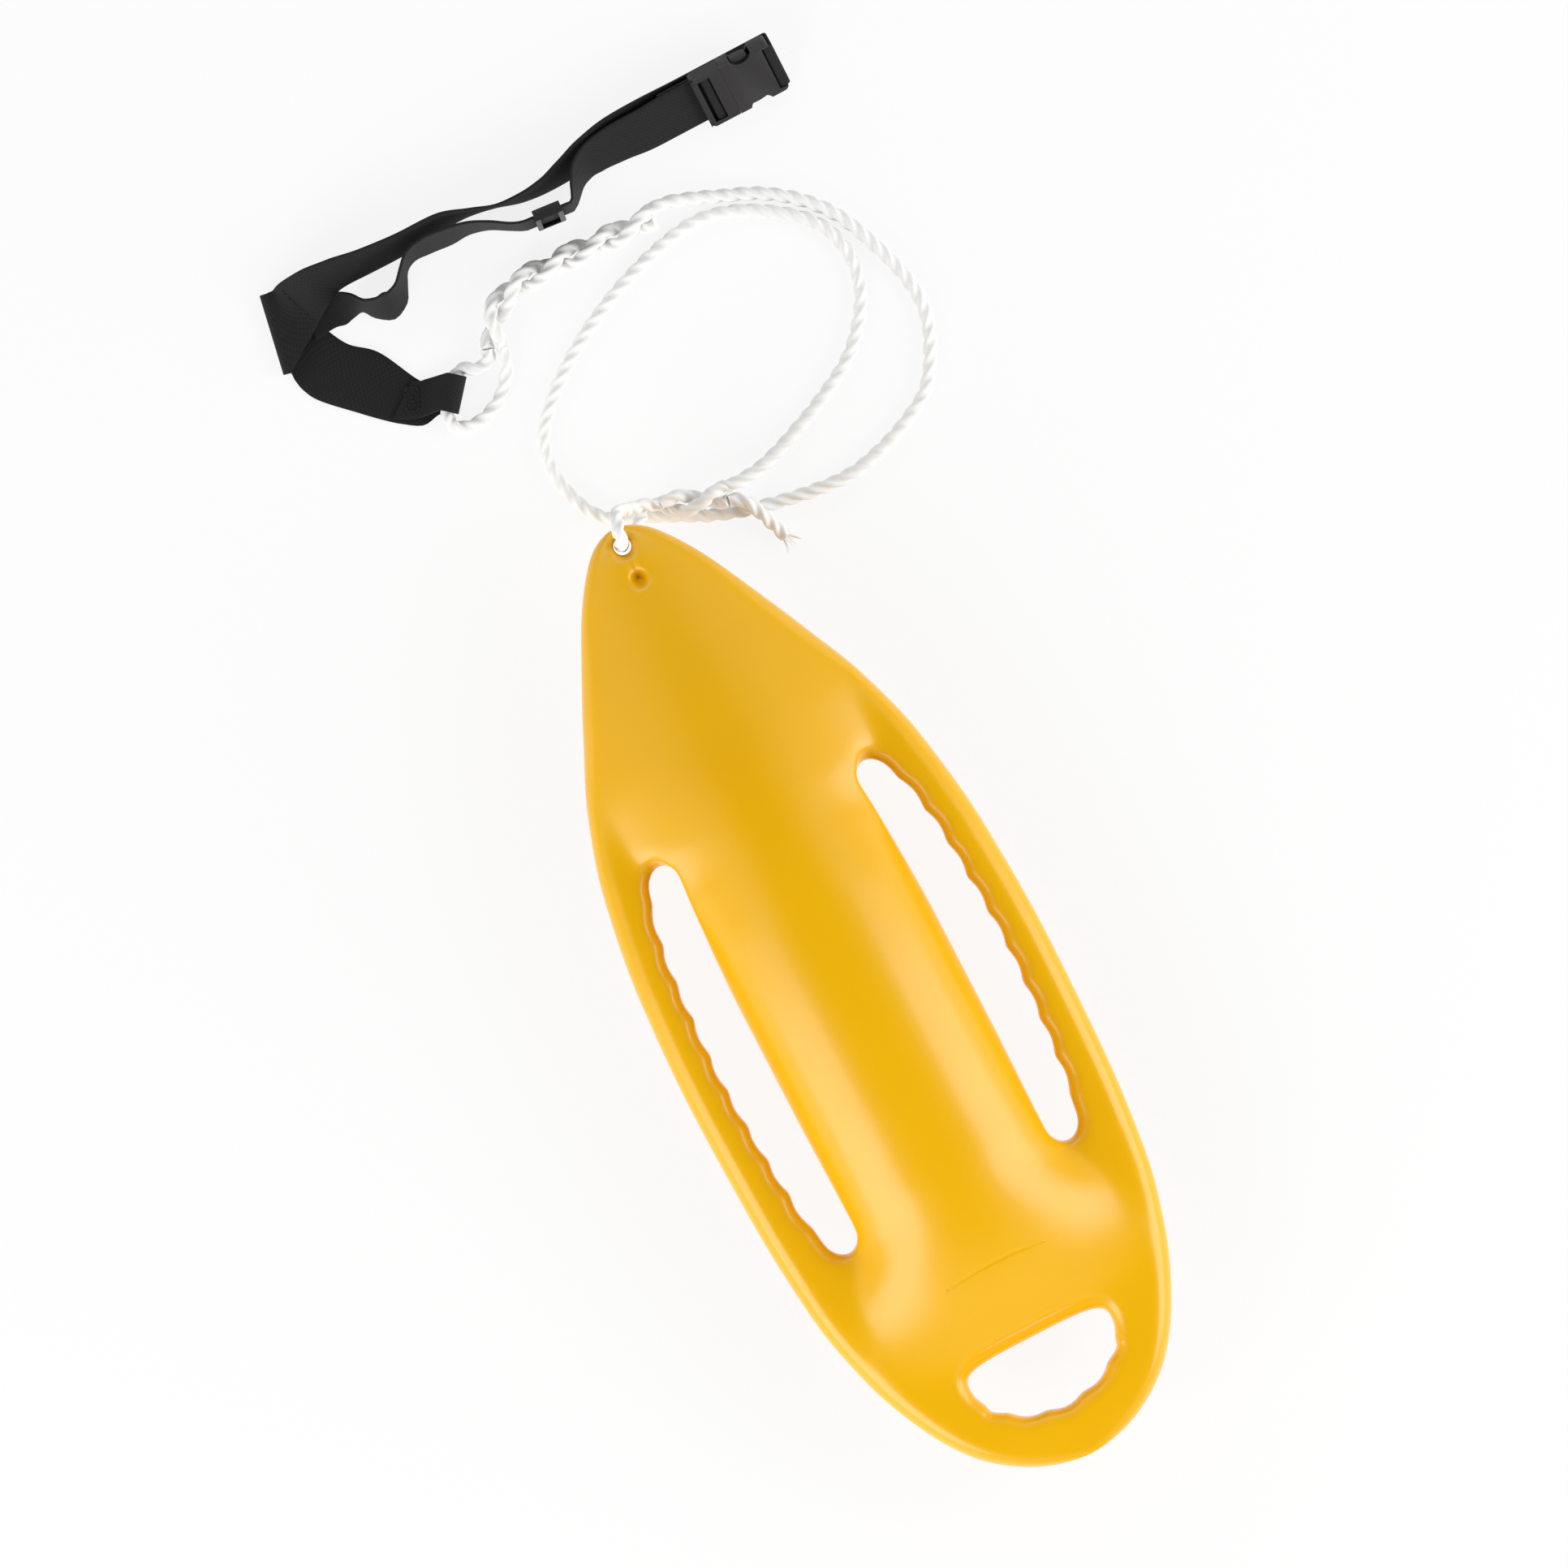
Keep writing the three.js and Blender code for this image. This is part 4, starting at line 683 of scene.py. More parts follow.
def slotEdges(s):
    inner = can["width"] / 2 * follow(slotInnerShares, s / can["length"]) - slot["podCut"]
    outer = halfWidthAt(s) - slot["railWidth"] * follow(railWidthShares, s / can["length"])
    fromEnd = min(s - slot["start"], slot["end"] - s)
    close = math.sqrt(max(0, 1 - (1 - fromEnd / slot["cap"]) ** 2)) if fromEnd < slot["cap"] else 1
    middle, half = (inner + outer) / 2, (outer - inner) / 2 * close
    return middle - half, middle + half


def slotCutter(side):
    start, end, cap, pitch = slot["start"], slot["end"], slot["cap"], slot["pitch"]
    caps = [(1 - math.cos(quarterTurn * k / slot["capSteps"])) * cap
            for k in range(1, slot["capSteps"] + 1)]
    inner = [start] + [start + d for d in caps]
    inner += [start + cap + (end - start - 2 * cap) * i / slot["innerSteps"]
              for i in range(1, slot["innerSteps"])]
    inner += [end - d for d in reversed(caps)]
    outer = [end] + [end - d for d in caps]
    outer += [slot["scallopStart"] + pitch * i / slot["scallopSteps"]
              for i in range(slot["scallops"] * slot["scallopSteps"], -1, -1)]
    outer += [start + d for d in reversed(caps)]

    def weight(normal):
        return min(1, max(0, slot["flareEven"] + slot["flareSide"] * normal.x * side))

    outline = [(side * slotEdges(s)[0], can["length"] / 2 - s, 0, weight) for s in inner]
    for s in outer:
        wave = 0
        if slot["scallopStart"] <= s <= slot["scallopStart"] + slot["scallops"] * pitch:
            wave = abs(math.sin(math.pi * (s - slot["scallopStart"]) / pitch))
        outline.append((side * slotEdges(s)[1], can["length"] / 2 - s, wave * slot["depth"], weight))
    return flaredCutter("slotCutter", outline, slot["flare"], can["rail"])


def gripCutter():
    y = can["length"] / 2 - grip["station"]

    def weight(normal):
        return 1

    def oval(turn, half, depth, power):
        v = half * math.copysign(abs(math.cos(turn)) ** power, math.cos(turn))
        return Vector((v, y + depth * abs(math.sin(turn)) ** power))

    outline = []
    for i in range(grip["forwardSteps"]):
        turn = math.pi * i / grip["forwardSteps"]
        outline.append((*oval(turn, grip["half"], grip["forward"], grip["forwardPower"]), 0, weight))
    middle = grip["aftSteps"] // 2
    aft = [oval(math.pi * i / grip["aftSteps"], -grip["half"], -grip["aft"], grip["aftPower"])
           for i in range(grip["aftSteps"])]
    for i, point in enumerate(aft):
        arc = sum((aft[k] - aft[k + 1]).length for k in range(min(i, middle), max(i, middle)))
        scalloped = arc < grip["scallops"] * grip["pitch"]
        wave = abs(math.cos(math.pi * arc / grip["pitch"])) if scalloped else 0
        outline.append((*point, wave * grip["depth"], weight))
    return flaredCutter("gripCutter", outline, grip["flare"], can["rail"] * grip["thicker"])


# a turned cutter from (radius, height) pairs
def roundCutter(name, pairs, x, y, z):
    turns = [2 * math.pi * i / roundSides for i in range(roundSides)]
    return skinRings(name, [[(x + r * math.cos(turn), y + r * math.sin(turn), z + h) for turn in turns]
                            for r, h in pairs])


def noseCutters():
    tipY, middle = can["length"] / 2, can["midHeight"]
    surface = skinHeight(nose["holeAt"], 0)
    upper = [(nose["hole"], nose["waist"])]
    for i in range(1, nose["flareSteps"] + 1):
        lean = quarterTurn * i / nose["flareSteps"]
        upper.append((nose["hole"] + nose["flare"] * (1 - math.cos(lean)),
                      nose["waist"] + (surface - nose["waist"]) * math.sin(lean)))
    upper.append((nose["hole"] + nose["flare"], surface * 2))
    lower = [(r, -h) for r, h in reversed(upper)]
    cutters = [roundCutter("holeCutter", lower + upper, 0, tipY - nose["holeAt"], middle)]
    top, mouth = skinHeight(nose["dimpleAt"], 0), nose["dimple"] * nose["dimpleMouth"]
    turns = [2 * math.pi * i / nose["grooveSides"] for i in range(nose["grooveSides"])]
    for side in (1, -1):
        pairs = [(nose["dimpleFloor"], side * (top - nose["dimpleDepth"])), (nose["dimple"], side * top),
                 (mouth, side * (top + nose["overrun"])), (mouth, side * top * 2)]
        cutters.append(roundCutter("dimpleCutter", pairs, 0, tipY - nose["dimpleAt"], middle))
        rings = []
        for k in range(nose["grooveSteps"] + 1):
            share = k / nose["grooveSteps"]
            s = nose["holeAt"] + share * (nose["dimpleAt"] - nose["holeAt"])
            waist = math.sin(math.pi * share)
            radius = nose["grooveEnd"] + (nose["grooveWaist"] - nose["grooveEnd"]) * waist
            centre = skinHeight(s, 0) + radius - nose["grooveDepth"]
            rings.append([(radius * math.cos(turn), tipY - s,
                           middle + side * (centre + radius * math.sin(turn))) for turn in turns])
        cutters.append(skinRings("grooveCutter", rings))
    return cutters


def ventCutter():
    pairs = [(vent["recess"], vent["below"]), (vent["recess"], vent["seat"]), (vent["bore"], vent["seat"]),
             (vent["bore"], vent["top"])]
    return roundCutter("ventCutter", pairs, 0, vent["y"], 0)


def insertCutter():
    radius, rings = insertLine["radius"], []
    for i in range(insertLine["steps"] + 1):
        share = 2 * i / insertLine["steps"] - 1
        s = insertLine["station"] + insertLine["arch"] * share * share
        v = insertLine["half"] * share
        centre = can["midHeight"] + skinHeight(s, abs(v)) + radius - insertLine["sink"]
        turns = [2 * math.pi * k / insertLine["around"] for k in range(insertLine["around"])]
        rings.append([(v, can["length"] / 2 - s + radius * math.cos(turn), centre + radius * math.sin(turn))
                      for turn in turns])
    return skinRings("insertCutter", rings)


def softenFoot(body):
    group = body.vertex_groups.new(name="foot")
    for vertex in body.data.vertices:
        s, v = can["length"] / 2 - vertex.co.y, abs(vertex.co.x)
        within = max(min(s - foot[end][0], foot[end][1] - s) for end in ("nose", "tail"))
        toEdge = halfWidthAt(min(max(s, 0), can["length"])) - v - can["edge"] / 2
        room = min(within, toEdge, v - foot["inner"])
        if room > 0:
            group.add([vertex.index], min(1, room / foot["fade"]), "REPLACE")
    applyModifier(body, "SMOOTH", factor=0.5, iterations=foot["passes"], vertex_group="foot")


canShell = canBody()
cutAway(canShell, [slotCutter(1), slotCutter(-1), gripCutter(), *noseCutters(), ventCutter()])
print("float cut out", len(canShell.data.polygons))
applyModifier(canShell, "REMESH", mode="VOXEL", voxel_size=can["voxel"])
applyModifier(canShell, "SMOOTH", factor=0.5, iterations=can["smoothing"])
softenFoot(canShell)
cutAway(canShell, [insertCutter()])
makeActive(canShell)
bpy.ops.object.shade_smooth()
setMaterial(canShell, yellowPlastic)
standFor(canShell, "can_shell", "float")
print("float smoothed", len(canShell.data.polygons))

# side-release buckle, made lengthways along X about its own middle height, then set in place

strapSpan = 400 * mm  # places of the buckle and the straps are shares of this, from the nose tip
strapOrigin = Vector((0, noseY, 0))

buckle = {
    "length": 60 * mm, "heading": 0.5, "tilt": 45, "height": 21.6 * mm, "place": (0.54245, 0.5855),
    "thickness": 11 * mm, "cornerSteps": 5, "edgeSteps": 3, "edgeAngle": 35, "smooth": 40,
}
plug = {
    "half": 23.5 * mm, "rail": 3.45 * mm, "endBar": 4.2 * mm, "endLow": 0.2 * mm, "top": 5.2 * mm,
    "centreStart": 8.2 * mm, "centreEnd": 11.2 * mm, "centreLow": -1 * mm, "centreTop": 2 * mm,
    "collarStart": 13.3 * mm, "collarEnd": 22.2 * mm, "low": -4.8 * mm, "bladeEnd": 46 * mm,
    "bladeHalf": 5 * mm, "bladeTip": 3.2 * mm, "bladeThick": 2.2 * mm, "corner": 4 * mm, "edge": 0.7 * mm,
}
socket = {
    "mouth": 22.3 * mm, "half": 23.5 * mm, "thick": 5.5 * mm, "corner": 4 * mm, "cavityHalf": 21 * mm,
    "cavityThick": 3.4 * mm, "cavityEnd": 48.5 * mm, "windowStart": 31 * mm, "windowEnd": 46 * mm,
    "thumbCentre": 38.5 * mm, "thumbRadius": 8.5 * mm, "thumbReach": 17.8 * mm, "webStart": 53.9 * mm,
    "webEnd": 56.4 * mm, "webHalf": 20.05 * mm, "barThick": 2.6 * mm, "overlap": 0.3 * mm, "edge": 0.9 * mm,
    "thumbSides": 48,
}
prong = {
    "root": 24.6 * mm, "rootRadius": 2.2 * mm, "rootSide": 17.5 * mm, "inner": 15.3 * mm,
    "outer": 19.7 * mm, "shoulder": 31.4 * mm, "shoulderSide": 22.4 * mm, "padSide": 23 * mm,
    "tip": 44.5 * mm, "tipSide": 22 * mm, "thick": 3.1 * mm, "edge": 0.5 * mm, "steps": 8,
}
buckleTurn = Euler((math.radians(buckle["tilt"]), 0, math.radians(buckle["heading"]))).to_matrix()
buckleMiddle = Vector((*[share * strapSpan for share in buckle["place"]], buckle["height"]))
buckleOrigin = buckleMiddle - buckleTurn @ Vector((buckle["length"] / 2, 0, 0))
bucklePlace = Matrix.Translation(buckleOrigin + strapOrigin) @ buckleTurn.to_4x4()


def block(x0, x1, y0, y1, z0, z1):
    deselectAll()
    bpy.ops.mesh.primitive_cube_add(size=1, location=((x0 + x1) / 2, (y0 + y1) / 2, (z0 + z1) / 2))
    obj = bpy.context.object
    obj.scale = (x1 - x0, y1 - y0, z1 - z0)
    bpy.ops.object.transform_apply(location=True, rotation=False, scale=True)
    return obj


def bar(x0, x1, half, z0, z1):
    return block(x0, x1, -half, half, z0, z1)


def plate(outline, thick):
    obj = meshObject("plate", [(x, y, -thick) for x, y in outline], [tuple(range(len(outline)))])
    editAll(obj)
    bpy.ops.mesh.extrude_region_move(TRANSFORM_OT_translate={"value": (0, 0, 2 * thick)})
    normalsOut(obj)
    return obj


def unite(body, others, name):
    for other in others:
        applyModifier(body, "BOOLEAN", operation="UNION", solver="EXACT", object=other)
        bpy.data.objects.remove(other)
    body.name = name
    return body


# rounds the two upright corners of a piece at x, at y on both sides
def roundCorners(obj, x, y, radius):
    editAll(obj)
    bpy.ops.mesh.select_mode(type="EDGE")
    bpy.ops.mesh.select_all(action="DESELECT")
    bpy.ops.object.mode_set(mode="OBJECT")
    near = 0.01 * mm
    for edge in obj.data.edges:
        ends = [obj.data.vertices[i].co for i in edge.vertices]
        edge.select = (all(abs(p.x - x) < near and abs(abs(p.y) - y) < near for p in ends)
                       and abs(ends[0].y - ends[1].y) < near)
    bpy.ops.object.mode_set(mode="EDIT")
    bpy.ops.mesh.bevel(offset=radius, segments=buckle["cornerSteps"])
    bpy.ops.object.mode_set(mode="OBJECT")


def setPlastic(obj, edge, place, node, body):
    applyModifier(obj, "BEVEL", width=edge, segments=buckle["edgeSteps"], limit_method="ANGLE",
                  angle_limit=math.radians(buckle["edgeAngle"]))
    smoothShade(obj, buckle["smooth"])
    obj.data.transform(place)
    setMaterial(obj, blackAcetal)
    standFor(obj, node, body)


def plugBody():
    p = plug
    bladeStart, taper = p["collarStart"], p["bladeEnd"] - 2 * p["bladeTip"]
    blade = [(bladeStart, -p["bladeHalf"]), (taper, -p["bladeHalf"]), (p["bladeEnd"], -p["bladeTip"]),
             (p["bladeEnd"], p["bladeTip"]), (taper, p["bladeHalf"]), (bladeStart, p["bladeHalf"])]
    inner = p["half"] - p["rail"]
    body = unite(bar(p["collarStart"], p["collarEnd"], p["half"], p["low"], p["top"]), [
        block(0, p["collarEnd"], inner, p["half"], p["low"], p["top"]),
        block(0, p["collarEnd"], -p["half"], -inner, p["low"], p["top"]),
        bar(0, p["endBar"], p["half"], p["endLow"], p["top"]),
        bar(p["centreStart"], p["centreEnd"], p["half"], p["centreLow"], p["centreTop"]),
        plate(blade, p["bladeThick"]),
    ], "bucklePlug")
    roundCorners(body, 0, p["half"], p["corner"])
    return body


def socketBody():
    s = socket
    end, beyond, barStart = buckle["length"], 2 * buckle["length"], s["webEnd"] - s["overlap"]
    body = bar(s["mouth"], end, s["half"], -s["thick"], s["thick"])
    roundCorners(body, end, s["half"], s["corner"])
    cutters = [
        bar(s["mouth"] - s["corner"], s["cavityEnd"], s["cavityHalf"], -s["cavityThick"], s["cavityThick"]),
        bar(s["windowStart"], s["windowEnd"], beyond, -s["cavityThick"], s["cavityThick"]),
        bar(s["webStart"], s["webEnd"], s["webHalf"], -beyond, beyond),
        bar(barStart, beyond, s["webHalf"], s["barThick"], beyond),
        bar(barStart, beyond, s["webHalf"], -beyond, -s["barThick"]),
    ]
    for side in (1, -1):
        deselectAll()
        bpy.ops.mesh.primitive_cylinder_add(
            vertices=s["thumbSides"], radius=s["thumbRadius"], depth=4 * s["thick"],
            location=(s["thumbCentre"], side * (s["thumbReach"] + s["thumbRadius"]), 0))
        cutters.append(bpy.context.object)
    cutAway(body, cutters)
    body.name = "buckleSocket"
    return body


def prongBody(name, side):
    p = prong
    radius, slopeEnd = p["rootRadius"], p["tip"] - p["rootRadius"] / 2
    outline = []
    for i in range(p["steps"] + 1):
        turn = quarterTurn + math.pi * i / p["steps"]
        outline.append((p["root"] + radius * math.cos(turn), p["rootSide"] + radius * math.sin(turn)))
    outline += [(p["tip"] - radius, p["inner"] + radius), (p["tip"], p["tipSide"] - radius)]
    # the pad that the finger presses swells out between the tip and the shoulder
    for i in range(p["steps"] + 1):
        share = i / p["steps"]
        swell = (p["padSide"] - p["shoulderSide"]) * math.sin(math.pi * share)
        outline.append((slopeEnd + (p["shoulder"] - slopeEnd) * share,
                        p["tipSide"] + (p["shoulderSide"] - p["tipSide"]) * share + swell))
    outline.append((p["shoulder"], p["outer"]))
    made = plate([(x, side * y) for x, y in outline], p["thick"])
    made.name = name
    return made


setPlastic(plugBody(), plug["edge"], bucklePlace, "buckle_plug", "float")
setPlastic(socketBody(), socket["edge"], bucklePlace, "buckle_socket", "socket")
setPlastic(prongBody("leftProng", 1), prong["edge"], bucklePlace, "left_prong", "left_prong")
setPlastic(prongBody("rightProng", -1), prong["edge"], bucklePlace, "right_prong", "right_prong")
print("buckle moulded")

# webbing: a station is a place on the strap's middle line, its half width as a vector, straight or not

webbing = {
    "width": 40 * mm, "thickness": 1.8 * mm, "floorGap": 0.4 * mm, "layerGap": 0.5 * mm,
    "threadGap": 0.3 * mm, "barGap": 0.6 * mm, "freeEnd": 24 * mm, "wrapGap": 0.4 * mm,
    "wrapStart": 26 * mm, "wrapEnd": 20 * mm, "wrapBeyond": 12 * mm, "stretchFrom": -120 * mm,
    "stretchTo": 12 * mm, "foldRadius": 4.5 * mm, "foldSteps": 12, "eyeLooseness": 1.3 * mm,
    "eyeSweep": 1.25, "eyeSteps": 14, "step": 3.2 * mm, "across": 10, "widthTension": 0.4,
    "cornerSteps": 6, "selvedge": 0.45 * mm, "smooth": 50,
}
webRest = webbing["floorGap"] + webbing["thickness"] / 2
layerPitch = webbing["thickness"] + webbing["layerGap"]
# the two layers below the socket, from the buckle's middle height
wrapInner = -(buckle["thickness"] / 2 + webbing["wrapGap"] + webbing["thickness"] / 2)
wrapOuter = wrapInner - webbing["wrapGap"] - webbing["thickness"]

# rows of a strap on edge: place, lean in degrees, then lift and half width as shares of the width
adjusterRows = [
    (0.3625, 0.5857, 47, 0.04, 0.5), (0.3075, 0.5875, 52, 0.0125, 0.5),
    (0.2625, 0.5835, 59, 0.02, 0.5), (0.235, 0.573, 68, 0.04, 0.5), (0.2162, 0.555, 78, 0.08, 0.5),
    (0.205, 0.5383, 83, 0.09, 0.5), (0.1913, 0.5255, 83, 0.1, 0.5, "straight"),
    (0.1062, 0.533, 83, 0.1, 0.5, "straight"), (0.0825, 0.5433, 85, 0.03, 0.5),
    (0.05, 0.5625, 84, 0, 0.5), (0.015, 0.575, 80, 0, 0.5), (-0.02, 0.578, 75, 0, 0.5),
    (-0.0625, 0.5815, 75, 0, 0.5), (-0.095, 0.5775, 80, 0, 0.5), (-0.115, 0.5625, 84, 0, 0.5),
    (-0.13, 0.5415, 80, 0, 0.5), (-0.1462, 0.525, 70, 0, 0.5), (-0.1663, 0.5188, 63, 0, 0.5),
    (-0.1875, 0.5262, 72, 0, 0.5), (-0.205, 0.54, 79, 0, 0.46), (-0.2225, 0.549, 55, 0, 0.35),
    (-0.2412, 0.554, 16, 0.0125, 0.3), (-0.2625, 0.5558, 4, 0.03, 0.27),
    (-0.28, 0.5543, 0, 0.055, 0.2625), (-0.305, 0.5525, 0, 0.06, 0.2625),
]
shoulderRows = [
    (0.375, 0.6015, 46, 0, 0.5), (0.3075, 0.602, 52, 0, 0.5), (0.2525, 0.597, 62, 0, 0.5),
    (0.2075, 0.587, 70, 0, 0.5), (0.165, 0.5795, 78, 0, 0.5), (0.12, 0.579, 84, 0, 0.5),
    (0.075, 0.5865, 90, 0, 0.5), (0.0325, 0.5975, 86, 0, 0.5), (-0.02, 0.6065, 76, 0, 0.5),
    (-0.1, 0.6035, 70, 0, 0.5), (-0.17, 0.606, 66, 0.025, 0.5), (-0.2275, 0.6095, 59, 0.23, 0.5),
    (-0.2675, 0.604, 42, 0.32, 0.5), (-0.305, 0.5925, 15, 0.2125, 0.5),
]
# rows of a strap that lies flat: place, and half width as a vector
foldPlace, foldHalf = (-0.3555, 0.565), (0.013, 0.07)
beforeFold = (-0.33, 0.5775, 0.0005, 0.0575)
leadRows = [
    (-0.3448, 0.54, 0.0235, 0.0612), (-0.3295, 0.512, 0.0342, 0.053),
    (-0.3057, 0.4658, 0.0433, 0.0333), (-0.2585, 0.42, 0.0393, 0.0387),
    (-0.2123, 0.3583, 0.0342, 0.0238), (-0.1867, 0.338, 0.022, 0.0275), (-0.155, 0.34, 0.021, 0.0255),
]
eyePlace, eyeHalf = (-0.14, 0.3375), (0.021, 0.0255)
flapRows = [
    (-0.19, 0.3525, 0.0215, 0.02675), (-0.205, 0.357, 0.025, 0.0245), (-0.22, 0.3662, 0.03, 0.022),
]


def betweenStations(stations):
    centres = curveThrough([s[0] for s in stations])
    halves = curveThrough([s[1] for s in stations], webbing["widthTension"])
    out = []
    for i, (a, b) in enumerate(zip(stations, stations[1:])):
        steps = max(1, round((a[0] - b[0]).length / webbing["step"]))
        for k in range(steps):
            t = k / steps
            if a[2] and b[2]:
                out.append((a[0].lerp(b[0], t), a[1].copy()))
            else:
                out.append((centres(i, t), halves(i, t)))
    return out + [stations[-1]]


# more stations on the straight runs of a threaded path
def refine(stations):
    out = []
    for a, b in zip(stations, stations[1:]):
        steps = max(1, round((b[0] - a[0]).length / webbing["step"]))
        out += [(a[0].lerp(b[0], k / steps), a[1].copy(), False) for k in range(steps)]
    return out + [stations[-1]]


def leaning(rows):
    places = [Vector((row[0] * strapSpan, row[1] * strapSpan, 0)) for row in rows]
    out = []
    for i, row in enumerate(rows):
        lean, lift, share = row[2:5]
        straight = len(row) > 5
        along = (places[min(i + 1, len(rows) - 1)] - places[max(i - 1, 0)]).normalized()
        if straight:
            other = i + 1 if len(rows[i + 1]) > 5 else i - 1
            along = (places[max(i, other)] - places[min(i, other)]).normalized()
        tilt = math.radians(lean)
        half = Vector((along.y * math.cos(tilt), -along.x * math.cos(tilt), math.sin(tilt)))
        half *= share * webbing["width"]
        centre = places[i].copy()
        centre.z = (half.z + webbing["thickness"] / 2 * math.cos(tilt) + webbing["floorGap"]
                    + lift * webbing["width"])
        out.append((centre, half, straight))
    return out


def lying(row, z):
    x, y, halfX, halfY = [share * strapSpan for share in row]
    return (Vector((x, y, z)), Vector((halfX, halfY, 0)), False)


def inBuckle(point):
    centre = buckleOrigin + buckleTurn @ Vector((point[0], 0, point[1]))
    return (centre, buckleTurn @ Vector((0, webbing["width"] / 2, 0)), False)


# stations that follow a path of places along the buckle and up through it, its corners rounded
def threaded(path, radius):
    out = [Vector(path[0])]
    for before, corner, after in zip(path, path[1:], path[2:]):
        corner = Vector(corner)
        back = (Vector(before) - corner).normalized()
        on = (Vector(after) - corner).normalized()
        half = math.acos(max(-1, min(1, back.dot(on)))) / 2
        middle = corner + (back + on).normalized() * (radius / math.sin(half))
        start = corner + back * (radius / math.tan(half)) - middle
        end = corner + on * (radius / math.tan(half)) - middle
        sweep = math.atan2(start.x * end.y - start.y * end.x, start.dot(end))
        for k in range(webbing["cornerSteps"] + 1):
            turn = sweep * k / webbing["cornerSteps"]
            out.append(middle + Vector((start.x * math.cos(turn) - start.y * math.sin(turn),
                                        start.x * math.sin(turn) + start.y * math.cos(turn))))
    out.append(Vector(path[-1]))
    return refine([inBuckle(p) for p in out])


# webbing bent round a line across it, bulging to one side
def bend(place, half, side, radius, first, sweep, steps):
    across = Vector(half).normalized()
    out = Vector((across.y, -across.x, 0)) * side
    stations = []
    for i in range(steps + 1):
        turn = first + sweep * i / steps
        centre, halfWidth, _ = lying((*place, *half), webRest + radius)
        centre = centre + out * (radius * math.cos(turn))
        centre.z += radius * math.sin(turn)
        stations.append((centre, halfWidth, False))
    return stations


# a solid strip of webbing with rounded selvedges, its map in metres
def strapMesh(name, stations):
    across = webbing["across"]
    points, lengths = [], [0]
    for i, (centre, half, *_) in enumerate(stations):
        if i:
            lengths.append(lengths[-1] + (centre - stations[i - 1][0]).length)
        points += [centre + half * (2 * k / across - 1) + strapOrigin for k in range(across + 1)]
    faces = []
    for i in range(len(stations) - 1):
        for k in range(across):
            a = i * (across + 1) + k
            faces.append((a, a + 1, a + across + 2, a + across + 1))
    obj = meshObject(name, points, faces)
    layer = obj.data.uv_layers.new(name="cloth")
    for corner in obj.data.loops:
        i, k = divmod(corner.vertex_index, across + 1)
        layer.data[corner.index].uv = (lengths[i], (k / across) * webbing["width"])
    applyModifier(obj, "SOLIDIFY", thickness=webbing["thickness"], offset=0)
    applyModifier(obj, "BEVEL", width=webbing["selvedge"], segments=2, limit_method="ANGLE",
                  angle_limit=math.radians(webbing["smooth"]))
    smoothShade(obj, webbing["smooth"])
    setMaterial(obj, blackWebbing)
    return obj, round(lengths[-1], 3)


# from its free end round the plug's middle bar, back under the end bar and away
def adjusterStations():
    clear = webbing["threadGap"] + webbing["thickness"] / 2
    over, right, left = plug["centreTop"] + clear, plug["centreEnd"] + clear, plug["centreStart"] - clear
    main = plug["endLow"] - webbing["barGap"] - webbing["thickness"] / 2
    tail = main - layerPitch
    free = -webbing["freeEnd"]
    path = [(free, tail), (right, tail), (right, over), (left, over), (left, main), (free, main)]
    start = threaded(path, clear)
    return start + betweenStations([start[-1]] + leaning(adjusterRows))[1:]


# from its end under the socket round the socket's bar, back to the fold and on to the rope's eye
def shoulderStations():
    clear = webbing["wrapGap"] + webbing["thickness"] / 2
    over, beyond = socket["barThick"] + clear, buckle["length"] + clear
    inSlot = socket["webEnd"] - clear
    path = [(webbing["wrapStart"], wrapInner), (inSlot, wrapInner), (inSlot, over), (beyond, over),
            (beyond, wrapOuter), (webbing["wrapEnd"], wrapOuter)]
    looped = threaded(path, clear)
    straight = inBuckle((-webbing["wrapBeyond"], wrapOuter))
    before = lying(beforeFold, webRest + webbing["foldRadius"] * 2 + webbing["layerGap"] * 2)
    fold = bend(foldPlace, foldHalf, -1, webbing["foldRadius"], quarterTurn, -math.pi, webbing["foldSteps"])
    eyeRadius = rope["radius"] + webbing["eyeLooseness"] + webbing["thickness"] / 2
    eye = bend(eyePlace, eyeHalf, 1, eyeRadius, -quarterTurn, math.pi * webbing["eyeSweep"],
               webbing["eyeSteps"])
    top = betweenStations([looped[-1], straight] + leaning(shoulderRows) + [before, fold[0]])
    low = betweenStations([fold[-1]] + [lying(row, webRest) for row in leadRows] + [eye[0]])
    flap = betweenStations([eye[-1]] + [lying(row, webRest + layerPitch) for row in flapRows])
    return looped[:-1] + top[:-1] + fold[:-1] + low[:-1] + eye[:-1] + flap


shoulderStrap, shoulderLength = strapMesh("shoulderStrap", shoulderStations())
adjusterStrap, adjusterLength = strapMesh("adjusterStrap", adjusterStations())
standFor(adjusterStrap, "adjuster_strap", "float")
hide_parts("shoulder_strap", "buckle_loop_webbing")
stretchFrom, stretchTo = [tuple(bucklePlace @ Vector((webbing[end], 0, 0)))
                          for end in ("stretchFrom", "stretchTo")]
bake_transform(shoulderStrap)
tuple(stretchFrom)
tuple(stretchTo)
print("webbing laid", shoulderLength, adjusterLength, "m")

# slider on the straight run of the second strap

slider = {
    "half": 23.5 * mm, "length": 20 * mm, "endBar": 3.5 * mm, "centreBar": 4 * mm, "inner": 1.3 * mm,
    "outer": 3.8 * mm, "rail": 3.15 * mm, "edge": 0.8 * mm,
}


